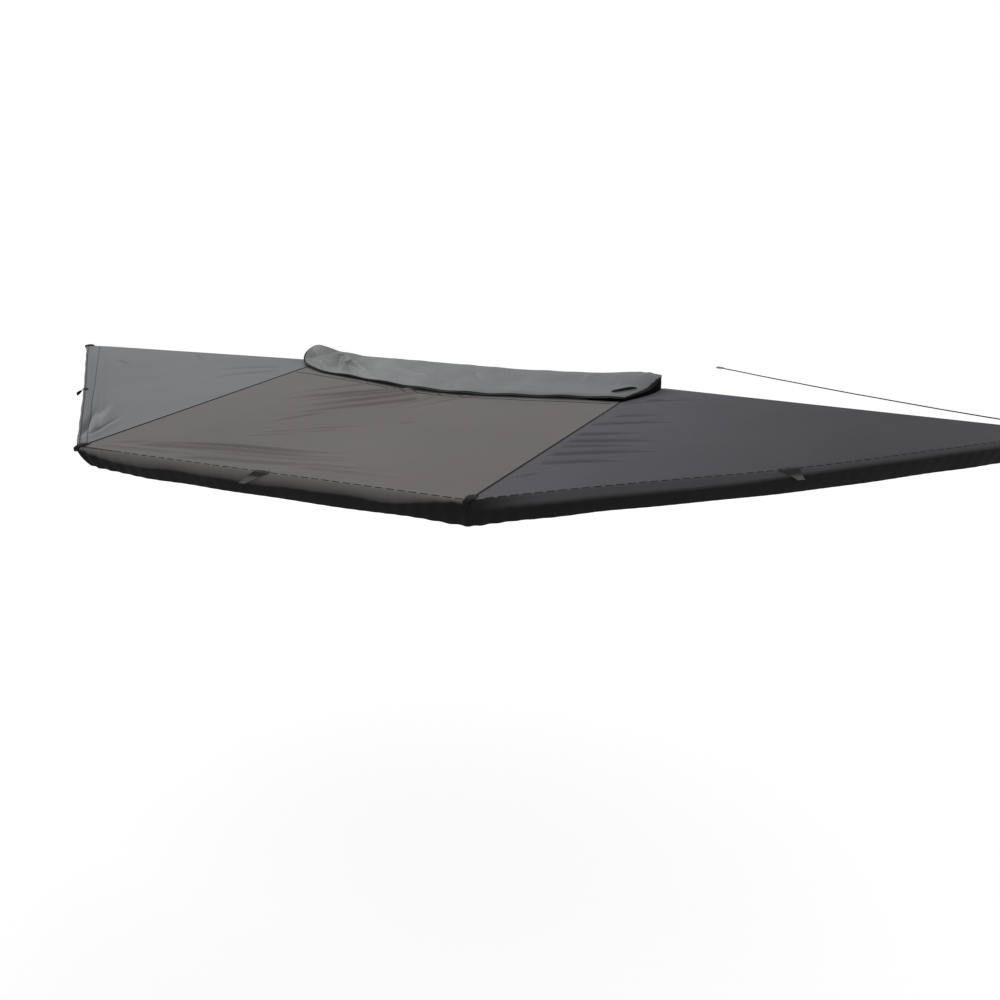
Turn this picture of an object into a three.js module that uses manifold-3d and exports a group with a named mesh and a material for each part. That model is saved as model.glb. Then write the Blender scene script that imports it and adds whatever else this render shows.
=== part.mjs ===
// A free-standing 180 degree vehicle side awning, open. A rail on the vehicle's side carries two hubs,
// and each hub carries two arms: a side arm that points away from the vehicle, and an end arm that
// points along it. One canopy in three panels lies on the arms, with a valance along its outer edge.
// Millimetres. +X is rearwards along the vehicle, +Y inwards to it, +Z up. The origin is the middle of
// the rail's back face. The awning opens towards -Y.
import * as THREE from "three";
import { mergeVertices } from "three/addons/utils/BufferGeometryUtils.js";
import Module from "manifold-3d";

const wasm = await Module();
wasm.setup();

// Driving dimensions, in millimetres and degrees
const hubSpacing = 2000;
const armLength = 1890;
const sideArmLean = 3.4;
const endArmLean = 2.3;
const endArmFall = 0.6;
const nestPitch = 36;
const innerLane = 64;
const seat = 0.3;
const cutOverrun = 5;
const weldDistance = 0.001;

// Rail: an extrusion with a T slot behind, one in front and a cord groove on top
const railOverhang = 70;
const railLength = hubSpacing + 2 * railOverhang;
const railDepth = 40;
const railHeight = 80;
const railWall = 3.5;
const slotMouth = 9;
const slotWidth = 18;
const slotDepth = 7;
const backSlotHeight = 20;
const grooveMouth = 4;
const grooveWidth = 9;
const chamberRise = 11;
const chamberGap = 4;
const capThickness = 4;
const capPlug = 20;

// Rack brackets, bolted in the rail's back slot
const bracketSpacing = 1300;
const bracketWidth = 70;
const bracketThickness = 6;
const bracketReach = 64;
const bracketRise = 12;
const bracketDrop = 50;
const bracketBoltPitch = 36;
const rackHoleRadius = 4.5;
const rackHoleReach = 40;

// Slot bolts: a low head, a shank and a T nut as one turned piece
const slotBoltRadius = 4;
const slotHeadRadius = 6.5;
const slotHeadHeight = 4;
const slotNutWidth = 16;
const slotNutHeight = 5.5;

// Hub brackets: a back plate with two tongues that hold the side arm's boss
const hubPlate = 6;
const hubBackPlate = 5;
const hubBackWidth = 90;
const hubBackHeight = 76;
const hubTongueRadius = 20;
const hubBoltPitch = 66;
const hubWebThickness = 6;
const hubWebGap = 8;
const hubPlay = 0.5;

// Knuckles: the side arm's holds the end arm's eye beside its own boss
const bossRadius = 16;
const bossHeight = 42;
const neckLength = 34;
const plugLength = 60;
const eyeRadius = 13;
const eyeHeight = 17;
const lugRadius = 14;
const lugPlay = 0.7;
const endNeckStart = 20;
const pivotRadius = 5;
const pivotHeadRadius = 10;
const pivotHeadHeight = 6;
const endPinRadius = 4;
const endPinHeadRadius = 7;
const endPinHeadHeight = 4.5;

// Arm tubes and their tip caps
const armWidth = 26;
const armHeight = 32;
const armWall = 2;
const armCorner = 3;
const tipInset = 22;
const tipCapLength = 26;
const tipCapPlug = 40;
const tipCapChamfer = 7;
const ringRadius = 7;
const ringHoleRadius = 3.5;
const ringThickness = 3;
const ringRise = 24;
const ringDrop = 10;
const ringInset = 32;

// Drop legs, stowed under the side arms
const legTipDistance = 100;
const legDrop = 40;
const legRadius = 11;
const legWall = 1.5;
const legLength = 1350;
const innerLegShow = 12;
const legHeadStart = 18;
const legHeadRadius = 9;
const legHeadWidth = 18.6;
const legHeadPlug = 40;
const legPinRadius = 4;
const footRadius = 12;
const footLength = 22;
const footPlug = 25;
const legBracketLength = 24;
const legBracketPlate = 3;
const legClipInset = 200;
const legClipLength = 24;
const legClipPlate = 2;

// Canopy, valance and the webbing on them
const clothThickness = 1.5;
const canopyStart = 70;
const canopyRailGap = 9;
const canopyHubGap = 62;
const canopyEdgeCover = 15;
const canopyHubShare = 0.1;
const sagPower = 3;
const centreSag = 28;
const endSag = 14;
const endEdgeSag = 18;
const valanceDrop = 95;
const valanceOut = 9.5;
const valanceInset = 60;
const valanceWave = 3;
const seamGap = 0.2;
const cornerGap = 0.7;
const strapWidth = 25;
const strapThickness = 2.5;
const strapTop = 70;
const strapFall = 50;
const strapOut = 16;
const tieWidth = 22;
const tieThickness = 1.5;
const tieTop = 36;
const tieFall = 58;
const tieOut = 12;
const centreTieShare = 0.52;
const endTieShare = 0.47;

// Cover flap: the open travel cover, hanging from the rail's top over both hubs. Each end's edge is a
// curve in plan from a root over the rail through a bend to a tip. Past is how far beyond the rail's
// end a place lies, and reach how far out from the rail's back. The middle reaches out by the bulge.
const flapThickness = 2;
const flapEdges = {
  front: { rootPast: 15, bendPast: 120, bendReach: 230, tipPast: -276, tipReach: 430 },
  rear: { rootPast: 8, bendPast: 70, bendReach: 150, tipPast: -80, tipReach: 430 },
};
const flapBulge = 160;
const flapTopRise = 6;
const flapLie = 23;
const flapDropReach = 240;
const flapHubRise = 20;
const flapHubReach = 136;
const flapLumps = {
  front: { pastHub: 60, reach: 50, height: 44, radius: 190 },
  rear: { pastHub: 40, reach: 20, height: 40, radius: 430 },
};
const flapWave = 5;
const flapWaves = 7;
const flapWaveTurn = 3;

// Stay rope from the rear end arm's tip ring to the rack, with its hook
const ropeDiameter = 6;
const hookLength = 46;
const hookWidth = 26;
const hookBar = 6;

// Counts of sides and steps
const roundSides = 24;
const smallSides = 12;
const hexSides = 6;
const panelSteps = 12;
const reachSteps = 10;
const valanceSteps = 30;
const valanceRows = 7;
const endWaves = 6;
const centreWaves = 4;
const flapSteps = 44;
const flapRows = 9;
const flapRowPower = 1.5;
const ropeSteps = 16;

// The finishes, from the photograph's greys
const finish = {
  alloy: new THREE.MeshStandardMaterial({ color: 0x2c2d2f, roughness: 0.45, metalness: 0.6 }),
  steel: new THREE.MeshStandardMaterial({ color: 0x1d1e20, roughness: 0.5, metalness: 0.5 }),
  zinc: new THREE.MeshStandardMaterial({ color: 0x9a9c9f, roughness: 0.35, metalness: 0.9 }),
  plastic: new THREE.MeshStandardMaterial({ color: 0x161617, roughness: 0.6, metalness: 0 }),
  rubber: new THREE.MeshStandardMaterial({ color: 0x121213, roughness: 0.9, metalness: 0 }),
  canopy: new THREE.MeshStandardMaterial({ color: 0x4a4645, roughness: 0.85, metalness: 0 }),
  valance: new THREE.MeshStandardMaterial({ color: 0x1e1c1c, roughness: 0.85, metalness: 0 }),
  cover: new THREE.MeshStandardMaterial({ color: 0x55585a, roughness: 0.55, metalness: 0 }),
  webbing: new THREE.MeshStandardMaterial({ color: 0x141414, roughness: 0.9, metalness: 0 }),
};

const awning = new THREE.Group();

// Solids

function solidOf(geometry) {
  const bare = geometry.index ? geometry.toNonIndexed() : geometry.clone();
  bare.deleteAttribute("normal");
  bare.deleteAttribute("uv");
  const merged = mergeVertices(bare, weldDistance);
  return new wasm.Manifold(
    new wasm.Mesh({
      numProp: 3,
      vertProperties: merged.attributes.position.array,
      triVerts: new Uint32Array(merged.index.array),
    }),
  );
}

function geometryOf(solid) {
  const mesh = solid.getMesh();
  const geometry = new THREE.BufferGeometry();
  geometry.setAttribute("position", new THREE.BufferAttribute(mesh.vertProperties, 3));
  geometry.setIndex(new THREE.BufferAttribute(mesh.triVerts, 1));
  const faceted = geometry.toNonIndexed();
  faceted.computeVertexNormals();
  return faceted;
}

function block([x0, x1], [y0, y1], [z0, z1]) {
  const geometry = new THREE.BoxGeometry(x1 - x0, y1 - y0, z1 - z0);
  return solidOf(geometry.translate((x0 + x1) / 2, (y0 + y1) / 2, (z0 + z1) / 2));
}

// A cylinder along Z between two heights, at a place in plan.
function post(radius, [z0, z1], sides = roundSides, x = 0, y = 0) {
  const geometry = new THREE.CylinderGeometry(radius, radius, z1 - z0, sides);
  return solidOf(geometry.rotateX(Math.PI / 2).translate(x, y, (z0 + z1) / 2));
}

// A cylinder along X or Y between two places, about a line given by its other two coordinates.
function barX(radius, [x0, x1], y, z, sides = roundSides) {
  const geometry = new THREE.CylinderGeometry(radius, radius, x1 - x0, sides);
  return solidOf(geometry.rotateZ(-Math.PI / 2).translate((x0 + x1) / 2, y, z));
}

function barY(radius, [y0, y1], x, z, sides = roundSides) {
  const geometry = new THREE.CylinderGeometry(radius, radius, y1 - y0, sides);
  return solidOf(geometry.translate(x, (y0 + y1) / 2, z));
}

// A flat plate of one outline between two heights.
function plate(points, [z0, z1]) {
  const shape = new THREE.Shape(points.map(([x, y]) => new THREE.Vector2(x, y)));
  const geometry = new THREE.ExtrudeGeometry(shape, { depth: z1 - z0, bevelEnabled: false });
  return solidOf(geometry.translate(0, 0, z0));
}

function join(...solids) {
  return solids.reduce((whole, solid) => whole.add(solid));
}

function cut(whole, ...solids) {
  return solids.reduce((rest, solid) => rest.subtract(solid), whole);
}

// A closed sheet of even thickness about a surface point(s, t), with s and t from 0 to 1.
function sheetGeometry(point, across, along, thickness) {
  const step = 1e-4;
  const rows = across + 1;
  const upper = [];
  const lower = [];
  for (let j = 0; j <= along; j++) {
    for (let i = 0; i <= across; i++) {
      const s = i / across;
      const t = j / along;
      const s0 = Math.min(s, 1 - step);
      const t0 = Math.min(t, 1 - step);
      const dS = point(s0 + step, t).sub(point(s0, t));
      const dT = point(s, t0 + step).sub(point(s, t0));
      const normal = dS.cross(dT).normalize().multiplyScalar(thickness / 2);
      upper.push(point(s, t).add(normal));
      lower.push(point(s, t).sub(normal));
    }
  }
  const corners = [...upper, ...lower].flatMap((p) => p.toArray());
  const under = upper.length;
  const faces = [];
  const quad = (a, b, c, d) => faces.push(a, b, c, a, c, d);
  for (let j = 0; j < along; j++) {
    for (let i = 0; i < across; i++) {
      const a = j * rows + i;
      quad(a, a + 1, a + 1 + rows, a + rows);
      quad(under + a, under + a + rows, under + a + 1 + rows, under + a + 1);
    }
  }
  for (let i = 0; i < across; i++) {
    const last = along * rows + i;
    quad(i, under + i, under + i + 1, i + 1);
    quad(last, last + 1, under + last + 1, under + last);
  }
  for (let j = 0; j < along; j++) {
    const first = j * rows;
    const last = first + across;
    quad(first, first + rows, under + first + rows, under + first);
    quad(last, under + last, under + last + rows, last + rows);
  }
  const geometry = new THREE.BufferGeometry();
  geometry.setAttribute("position", new THREE.Float32BufferAttribute(corners, 3));
  geometry.setIndex(faces);
  return geometry;
}

function sheet(point, across, along, thickness) {
  const solid = solidOf(sheetGeometry(point, across, along, thickness));
  if (solid.volume() > 0) return solid;
  return solidOf(sheetGeometry((s, t) => point(1 - s, t), across, along, thickness));
}

function addPiece(group, name, solid, material) {
  const mesh = new THREE.Mesh(geometryOf(solid), material);
  mesh.name = name;
  group.add(mesh);
  return mesh;
}

// Places: the hubs, the arms' directions and the corners of the canopy

const armTop = armHeight / 2;
const clothMiddle = armTop + seat + clothThickness / 2;
const laneOf = { front: innerLane + 2 * nestPitch, rear: innerLane };
const sideOf = { front: -1, rear: 1 };
const tubeEnd = armLength - tipInset - tipCapLength;

function directionOf(degrees) {
  const angle = THREE.MathUtils.degToRad(degrees);
  return new THREE.Vector3(Math.cos(angle), Math.sin(angle), 0);
}

function groupAt(position, degrees, fall = 0) {
  const group = new THREE.Group();
  group.position.copy(position);
  group.rotation.order = "ZYX";
  group.rotation.z = THREE.MathUtils.degToRad(degrees);
  group.rotation.y = THREE.MathUtils.degToRad(fall);
  awning.add(group);
  group.updateMatrixWorld(true);
  return group;
}

// Each end of the awning: its hub, and a group for each arm whose +X runs along the arm.
function endOf(end) {
  const side = sideOf[end];
  const hub = new THREE.Vector3((side * hubSpacing) / 2, -laneOf[end], 0);
  const sideAngle = -90 - side * sideArmLean;
  const endAngle = side > 0 ? -endArmLean : 180 + endArmLean;
  const pin = hub.clone().add(directionOf(sideAngle + side * 90).multiplyScalar(nestPitch));
  return {
    end,
    side,
    hub,
    sideArm: groupAt(hub, sideAngle),
    endArm: groupAt(pin, endAngle, endArmFall),
  };
}

const ends = { front: endOf("front"), rear: endOf("rear") };

// A point on an arm: along it, to its side, and up from its middle.
function onArm(group, along, lateral = 0, up = clothMiddle) {
  return group.localToWorld(new THREE.Vector3(along, lateral, up));
}

function cornerOf(group) {
  return onArm(group, armLength);
}

// Rail and what is fastened to it

function slotIn(face, height, inwards) {
  const across = [-railLength / 2 - cutOverrun, railLength / 2 + cutOverrun];
  const mouth = [face - inwards * cutOverrun, face + inwards * railWall].sort((a, b) => a - b);
  const inner = [face + inwards * railWall, face + inwards * (railWall + slotDepth)];
  return join(
    block(across, mouth, [height - slotMouth / 2, height + slotMouth / 2]),
    block(across, inner.sort((a, b) => a - b), [height - slotWidth / 2, height + slotWidth / 2]),
  );
}

const chamberFront = -railDepth + railWall + slotDepth + railWall;
const chamberBack = -railWall - slotDepth - railWall;

function makeRail() {
  const whole = block(
    [-railLength / 2, railLength / 2],
    [-railDepth, 0],
    [-railHeight / 2, railHeight / 2],
  );
  const across = [-railLength / 2 - cutOverrun, railLength / 2 + cutOverrun];
  const top = railHeight / 2;
  const groove = join(
    block(
      across,
      [(-railDepth - grooveMouth) / 2, (-railDepth + grooveMouth) / 2],
      [top - railWall, top + cutOverrun],
    ),
    block(
      across,
      [(-railDepth - grooveWidth) / 2, (-railDepth + grooveWidth) / 2],
      [top - railWall - grooveWidth, top - railWall],
    ),
  );
  const chamber = block(across, [chamberFront, chamberBack], [-chamberRise, chamberRise]);
  const lower = block(
    across,
    [-railDepth + railWall, -railWall],
    [-top + railWall, -chamberRise - chamberGap],
  );
  const rail = cut(whole, slotIn(0, backSlotHeight, -1), slotIn(-railDepth, 0, 1), groove, chamber, lower);
  addPiece(awning, "rail", rail, finish.alloy);
}

function makeRailCap({ end, side }) {
  const start = (side * railLength) / 2;
  const outer = start + side * capThickness;
  const inner = start - side * capPlug;
  const cap = join(
    block([Math.min(start, outer), Math.max(start, outer)], [-railDepth, 0], [-railHeight / 2, railHeight / 2]),
    block(
      [Math.min(start, inner), Math.max(start, inner)],
      [chamberFront + seat, chamberBack - seat],
      [-chamberRise + seat, chamberRise - seat],
    ),
  );
  addPiece(awning, `rail_end_cap_${end}`, cap, finish.plastic);
}

// A bolt along Y in a T slot: the head outside at a face, the nut behind the slot's lips.
function slotBolt(x, z, face, lipFace, outwards) {
  const headStart = face + outwards * seat;
  const headEnd = headStart + outwards * slotHeadHeight;
  const nutStart = lipFace - outwards * (railWall + seat);
  const nutEnd = nutStart - outwards * slotNutHeight;
  const sorted = (a, b) => [Math.min(a, b), Math.max(a, b)];
  return join(
    barY(slotHeadRadius, sorted(headStart, headEnd), x, z, smallSides),
    barY(slotBoltRadius, sorted(headEnd, nutEnd), x, z, smallSides),
    block([x - slotNutWidth / 2, x + slotNutWidth / 2], sorted(nutStart, nutEnd), [
      z - slotNutWidth / 2,
      z + slotNutWidth / 2,
    ]),
  );
}

function makeRackBracket({ end, side }) {
  const x = (side * bracketSpacing) / 2;
  const across = [x - bracketWidth / 2, x + bracketWidth / 2];
  const top = backSlotHeight + bracketRise;
  const foot = top - bracketDrop;
  const legs = join(
    block(across, [0, bracketThickness], [foot, top]),
    block(across, [0, bracketReach], [foot, foot + bracketThickness]),
  );
  const boltPlaces = [x - bracketBoltPitch / 2, x + bracketBoltPitch / 2];
  const holes = boltPlaces.map((place) =>
    barY(slotBoltRadius + seat, [-cutOverrun, bracketThickness + cutOverrun], place, backSlotHeight, smallSides),
  );
  const through = [foot - cutOverrun, foot + bracketThickness + cutOverrun];
  const rackHole = post(rackHoleRadius, through, roundSides, x, rackHoleReach);
  addPiece(awning, `rack_bracket_${end}`, cut(legs, ...holes, rackHole), finish.steel);
  boltPlaces.forEach((place, i) => {
    const bolt = slotBolt(place, backSlotHeight, bracketThickness, 0, 1);
    addPiece(awning, `rack_bolt_${end}_${i + 1}`, bolt, finish.zinc);
  });
}

function makeHubBracket({ end, side, hub }) {
  const reach = laneOf[end];
  const face = -railDepth - hubBackPlate;
  const inner = bossHeight / 2 + hubPlay;
  const tongue = (heights) =>
    join(
      block([-hubTongueRadius, hubTongueRadius], [-reach, face + hubBackPlate / 2], heights),
      post(hubTongueRadius, heights, roundSides, 0, -reach),
    );
  const pieces = [
    block([-hubBackWidth / 2, hubBackWidth / 2], [face, -railDepth], [-hubBackHeight / 2, hubBackHeight / 2]),
    tongue([inner, inner + hubPlate]),
    tongue([-inner - hubPlate, -inner]),
  ];
  const webEnd = -reach + bossRadius + hubWebGap;
  if (webEnd < face - hubWebThickness) {
    pieces.push(
      block([-hubWebThickness / 2, hubWebThickness / 2], [webEnd, face + hubBackPlate / 2], [
        -inner - hubPlate / 2,
        inner + hubPlate / 2,
      ]),
    );
  }
  const boltPlaces = [-hubBoltPitch / 2, hubBoltPitch / 2];
  const bores = boltPlaces.map((place) =>
    barY(slotBoltRadius + seat, [face - cutOverrun, -railDepth + cutOverrun], place, 0, smallSides),
  );
  const outer = inner + hubPlate;
  const pivotBore = post(pivotRadius + seat, [-outer - cutOverrun, outer + cutOverrun], roundSides, 0, -reach);
  const bracket = cut(join(...pieces), pivotBore, ...bores);
  addPiece(awning, `hub_bracket_${end}`, bracket, finish.steel).position.x = hub.x;
  boltPlaces.forEach((place, i) => {
    const bolt = slotBolt(hub.x + place, 0, face, -railDepth, -1);
    addPiece(awning, `hub_bolt_${end}_${i + 1}`, bolt, finish.zinc);
  });
  const pivot = join(
    post(pivotHeadRadius, [outer + seat, outer + seat + pivotHeadHeight], hexSides),
    post(pivotRadius, [-outer - pivotHeadHeight, outer + pivotHeadHeight], smallSides),
    post(pivotHeadRadius, [-outer - seat - pivotHeadHeight, -outer - seat], hexSides),
  );
  addPiece(awning, `side_pivot_${end}`, pivot, finish.zinc).position.copy(hub);
}

// Arms

function tubeOutline(shrink) {
  const y = armWidth / 2 - shrink;
  const z = armHeight / 2 - shrink;
  const c = Math.max(armCorner - shrink, armCorner / 2);
  return [
    [-y + c, -z],
    [y - c, -z],
    [y, -z + c],
    [y, z - c],
    [y - c, z],
    [-y + c, z],
    [-y, z - c],
    [-y, -z + c],
  ];
}

// The tube's outline, shrunk, as a bar along X.
function armBar(shrink, [x0, x1]) {
  const shape = new THREE.Shape(tubeOutline(shrink).map(([y, z]) => new THREE.Vector2(y, z)));
  const geometry = new THREE.ExtrudeGeometry(shape, { depth: x1 - x0, bevelEnabled: false });
  return solidOf(geometry.rotateX(Math.PI / 2).rotateZ(Math.PI / 2).translate(x0, 0, 0));
}

const plugShrink = armWall + seat;

function makeSideKnuckle({ end, side, sideArm }) {
  const lugPlace = side * nestPitch;
  const lugInner = eyeHeight / 2 + lugPlay;
  const lug = (heights) =>
    join(
      post(lugRadius, heights, roundSides, 0, lugPlace),
      block([-lugRadius, lugRadius], [Math.min(0, lugPlace), Math.max(0, lugPlace)], heights),
    );
  const body = join(
    post(bossRadius, [-bossHeight / 2, bossHeight / 2]),
    armBar(0, [0, neckLength]),
    armBar(plugShrink, [neckLength - plugShrink, neckLength + plugLength]),
    lug([lugInner, armTop]),
    lug([-armTop, -lugInner]),
  );
  const bores = [
    post(pivotRadius + seat, [-bossHeight, bossHeight]),
    post(endPinRadius + seat, [-bossHeight, bossHeight], smallSides, 0, lugPlace),
  ];
  addPiece(sideArm, `${end}_side_knuckle`, cut(body, ...bores), finish.steel);
  const pin = join(
    post(endPinHeadRadius, [armTop + seat, armTop + seat + endPinHeadHeight], smallSides),
    post(endPinRadius, [-armTop - endPinHeadHeight, armTop + endPinHeadHeight], smallSides),
    post(endPinHeadRadius, [-armTop - seat - endPinHeadHeight, -armTop - seat], hexSides),
  );
  addPiece(sideArm, `${end}_end_pin`, pin, finish.zinc).position.y = lugPlace;
}

function makeEndKnuckle({ end, endArm }) {
  const heights = [-eyeHeight / 2, eyeHeight / 2];
  const body = join(
    post(eyeRadius, heights),
    block([0, endNeckStart + plugShrink], [-eyeRadius, eyeRadius], heights),
    armBar(0, [endNeckStart, neckLength]),
    armBar(plugShrink, [neckLength - plugShrink, neckLength + plugLength]),
  );
  const bore = post(endPinRadius + seat, [-armHeight, armHeight], smallSides);
  addPiece(endArm, `${end}_end_knuckle`, cut(body, bore), finish.steel);
}

function makeArmTube(group, name) {
  const outer = armBar(0, [neckLength + seat, tubeEnd]);
  const inner = armBar(armWall, [neckLength - cutOverrun, tubeEnd + cutOverrun]);
  addPiece(group, name, outer.subtract(inner), finish.alloy);
}

// A cap in the tube's tip. The rear end arm's carries the ring for the stay rope.
function makeTipCap(group, name, hasRing) {
  const start = tubeEnd + seat;
  const stop = armLength - tipInset;
  const half = armWidth / 2;
  const outline = [
    [start, -half],
    [stop - tipCapChamfer, -half],
    [stop, -half + tipCapChamfer],
    [stop, half - tipCapChamfer],
    [stop - tipCapChamfer, half],
    [start, half],
  ];
  const body = join(
    plate(outline, [-armTop, armTop]),
    armBar(plugShrink, [start - tipCapPlug, start + plugShrink]),
  );
  if (!hasRing) return addPiece(group, name, body, finish.plastic);
  const x = armLength - ringInset;
  const ear = [half - tipCapChamfer / 2, half + ringThickness];
  const face = [half, half + ringThickness];
  const ring = join(
    barY(ringRadius, face, x, ringRise, smallSides),
    block([x - ringRadius, x + ringRadius], face, [-ringDrop, ringRise]),
    block([x - ringRadius, stop - tipCapChamfer], ear, [-ringDrop, armTop]),
  );
  const hole = barY(ringHoleRadius, [half - cutOverrun, half + armWidth], x, ringRise, smallSides);
  return addPiece(group, name, join(body, ring.subtract(hole)), finish.plastic);
}

// Drop leg under a side arm: it hangs from a pin near the tip and lies back along the arm
function makeLeg({ end, sideArm }) {
  const pivotX = armLength - legTipDistance;
  const pivotZ = -armTop - legDrop;
  const half = armWidth / 2;
  const plateTop = -armTop - seat;
  const ears = (length, thickness, bottom) =>
    [-1, 1].map((sign) => {
      const y = [sign * half, sign * (half - thickness)].sort((a, b) => a - b);
      return block([-length / 2, length / 2], y, [bottom, plateTop]);
    });
  const earThickness = half - legHeadWidth / 2 - seat;
  const bracket = join(
    block([-legBracketLength / 2, legBracketLength / 2], [-half, half], [plateTop - legBracketPlate, plateTop]),
    ...ears(legBracketLength, earThickness, pivotZ - legHeadRadius),
    barY(legPinRadius, [-half, half], 0, pivotZ, smallSides),
  );
  addPiece(sideArm, `${end}_leg_bracket`, bracket, finish.steel).position.x = pivotX;

  const innerRadius = legRadius - legWall - seat;
  const head = join(
    barY(legHeadRadius, [-legHeadWidth / 2, legHeadWidth / 2], 0, 0),
    block([-legHeadStart, 0], [-legHeadWidth / 2, legHeadWidth / 2], [-legHeadRadius, legHeadRadius]),
    barX(legRadius - legWall - seat, [-legHeadStart - legHeadPlug, -legHeadStart + legWall], 0, 0),
  ).subtract(barY(legPinRadius + seat, [-armWidth, armWidth], 0, 0, smallSides));
  addPiece(sideArm, `${end}_leg_head`, head, finish.plastic).position.set(pivotX, 0, pivotZ);

  const outerStart = -legHeadStart - seat - legLength;
  const outer = barX(legRadius, [outerStart, -legHeadStart - seat], 0, 0).subtract(
    barX(legRadius - legWall, [outerStart - cutOverrun, cutOverrun], 0, 0),
  );
  addPiece(sideArm, `${end}_leg_outer_tube`, outer, finish.alloy).position.set(pivotX, 0, pivotZ);

  const innerStart = outerStart - innerLegShow;
  const innerEnd = -legHeadStart - legHeadPlug - seat;
  const inner = barX(innerRadius, [innerStart, innerEnd], 0, 0).subtract(
    barX(innerRadius - legWall, [innerStart - cutOverrun, innerEnd + cutOverrun], 0, 0),
  );
  addPiece(sideArm, `${end}_leg_inner_tube`, inner, finish.zinc).position.set(pivotX, 0, pivotZ);

  const foot = join(
    barX(footRadius, [innerStart - seat - footLength, innerStart - seat], 0, 0),
    barX(innerRadius - legWall - seat, [innerStart - footLength, innerStart + footPlug], 0, 0),
  );
  addPiece(sideArm, `${end}_leg_foot`, foot, finish.rubber).position.set(pivotX, 0, pivotZ);

  const clipThickness = half - legRadius - seat;
  const clip = join(
    block([-legClipLength / 2, legClipLength / 2], [-half, half], [plateTop - legClipPlate, plateTop]),
    ...ears(legClipLength, clipThickness, pivotZ),
  );
  addPiece(sideArm, `${end}_leg_clip`, clip, finish.plastic).position.x = pivotX - legLength + legClipInset;
}

// Canopy: panels between two arms, or between the rail and the side arms

function lerp(a, b, share) {
  return a.clone().lerp(b, share);
}

function makeEndPanel({ end, side, sideArm, endArm }) {
  const point = (s, t) => {
    const along = canopyStart + t * (armLength - canopyStart);
    const outer = onArm(endArm, along, side * canopyEdgeCover * Math.min(1, reachSteps * (1 - t)));
    const inner = onArm(sideArm, along, side * seamGap);
    const p = lerp(outer, inner, s);
    p.z -= endSag * Math.sin(Math.PI * s) ** sagPower * Math.sin(Math.PI * t) ** 2;
    p.z -= endEdgeSag * Math.sin(Math.PI * s) ** sagPower * t ** sagPower;
    return p;
  };
  addPiece(awning, `canopy_${end}`, sheet(point, panelSteps, reachSteps, clothThickness), finish.canopy);
}

// The side edge of the centre panel: out from the rail past the hub, and then along the side arm.
function centreSide({ side, hub, sideArm }, t) {
  const railPoint = new THREE.Vector3(hub.x - side * canopyHubGap, -railDepth - canopyRailGap, clothMiddle);
  const armPoint = onArm(sideArm, canopyStart, -side * seamGap);
  if (t < canopyHubShare) return lerp(railPoint, armPoint, t / canopyHubShare);
  const share = (t - canopyHubShare) / (1 - canopyHubShare);
  return onArm(sideArm, canopyStart + share * (armLength - canopyStart), -side * seamGap);
}

function makeCentrePanel() {
  const point = (s, t) => {
    const p = lerp(centreSide(ends.front, t), centreSide(ends.rear, t), s);
    p.z -= centreSag * Math.sin(Math.PI * s) ** sagPower * Math.sin(Math.PI * t);
    return p;
  };
  addPiece(awning, "canopy_centre", sheet(point, panelSteps, reachSteps, clothThickness), finish.canopy);
}

// Valance: it rolls over the canopy's outer edge and hangs

// How far out and how far down the cloth is, at a share of the way from the edge to the hem.
function valanceSection(share) {
  const radius = valanceOut;
  const arc = (radius * Math.PI) / 2;
  const run = arc + valanceDrop - radius;
  const distance = share * run;
  if (distance < arc) {
    const angle = distance / radius;
    return [radius * Math.sin(angle), radius * (1 - Math.cos(angle))];
  }
  return [radius, radius + distance - arc];
}

// The way out at a corner where two edges meet, or square to one edge, per millimetre out.
function mitre(outA, outB) {
  return outA.clone().add(outB).divideScalar(1 + outA.dot(outB));
}

function outwardOf(from, to) {
  const along = to.clone().sub(from).setZ(0).normalize();
  return new THREE.Vector3(along.y, -along.x, 0);
}

const corner = {
  frontEnd: cornerOf(ends.front.endArm),
  frontSide: cornerOf(ends.front.sideArm),
  rearSide: cornerOf(ends.rear.sideArm),
  rearEnd: cornerOf(ends.rear.endArm),
};

const outward = {
  front: outwardOf(corner.frontEnd, corner.frontSide),
  centre: outwardOf(corner.frontSide, corner.rearSide),
  rear: outwardOf(corner.rearSide, corner.rearEnd),
};
// Along the arm, but as long per millimetre out as the valance's plane there needs.
function squareTo(arm, out) {
  const along = new THREE.Vector3(1, 0, 0).transformDirection(arm.matrixWorld).setZ(0).normalize();
  return along.divideScalar(along.dot(out));
}

// One edge's valance from corner to corner. Its hem is cut back at an end by the inset given.
function valance(name, from, to, mitreFrom, mitreTo, waves, insetFrom, insetTo, edgeSag) {
  const along = to.clone().sub(from).setZ(0).normalize();
  const point = (s, t) => {
    const [roll, down] = valanceSection(t);
    const hang = (down / valanceDrop) ** 2;
    const wave = hang * valanceWave * (1 + Math.sin(2 * Math.PI * waves * s));
    const out = roll + seamGap - wave;
    const start = from.clone().addScaledVector(mitreFrom, out);
    const stop = to.clone().addScaledVector(mitreTo, out);
    start.addScaledVector(along, cornerGap + insetFrom * hang);
    stop.addScaledVector(along, -cornerGap - insetTo * hang);
    const p = lerp(start, stop, s);
    p.z -= down + edgeSag * Math.sin(Math.PI * s) ** sagPower;
    return p;
  };
  addPiece(awning, name, sheet(point, valanceSteps, valanceRows, clothThickness), finish.valance);
}

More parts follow.
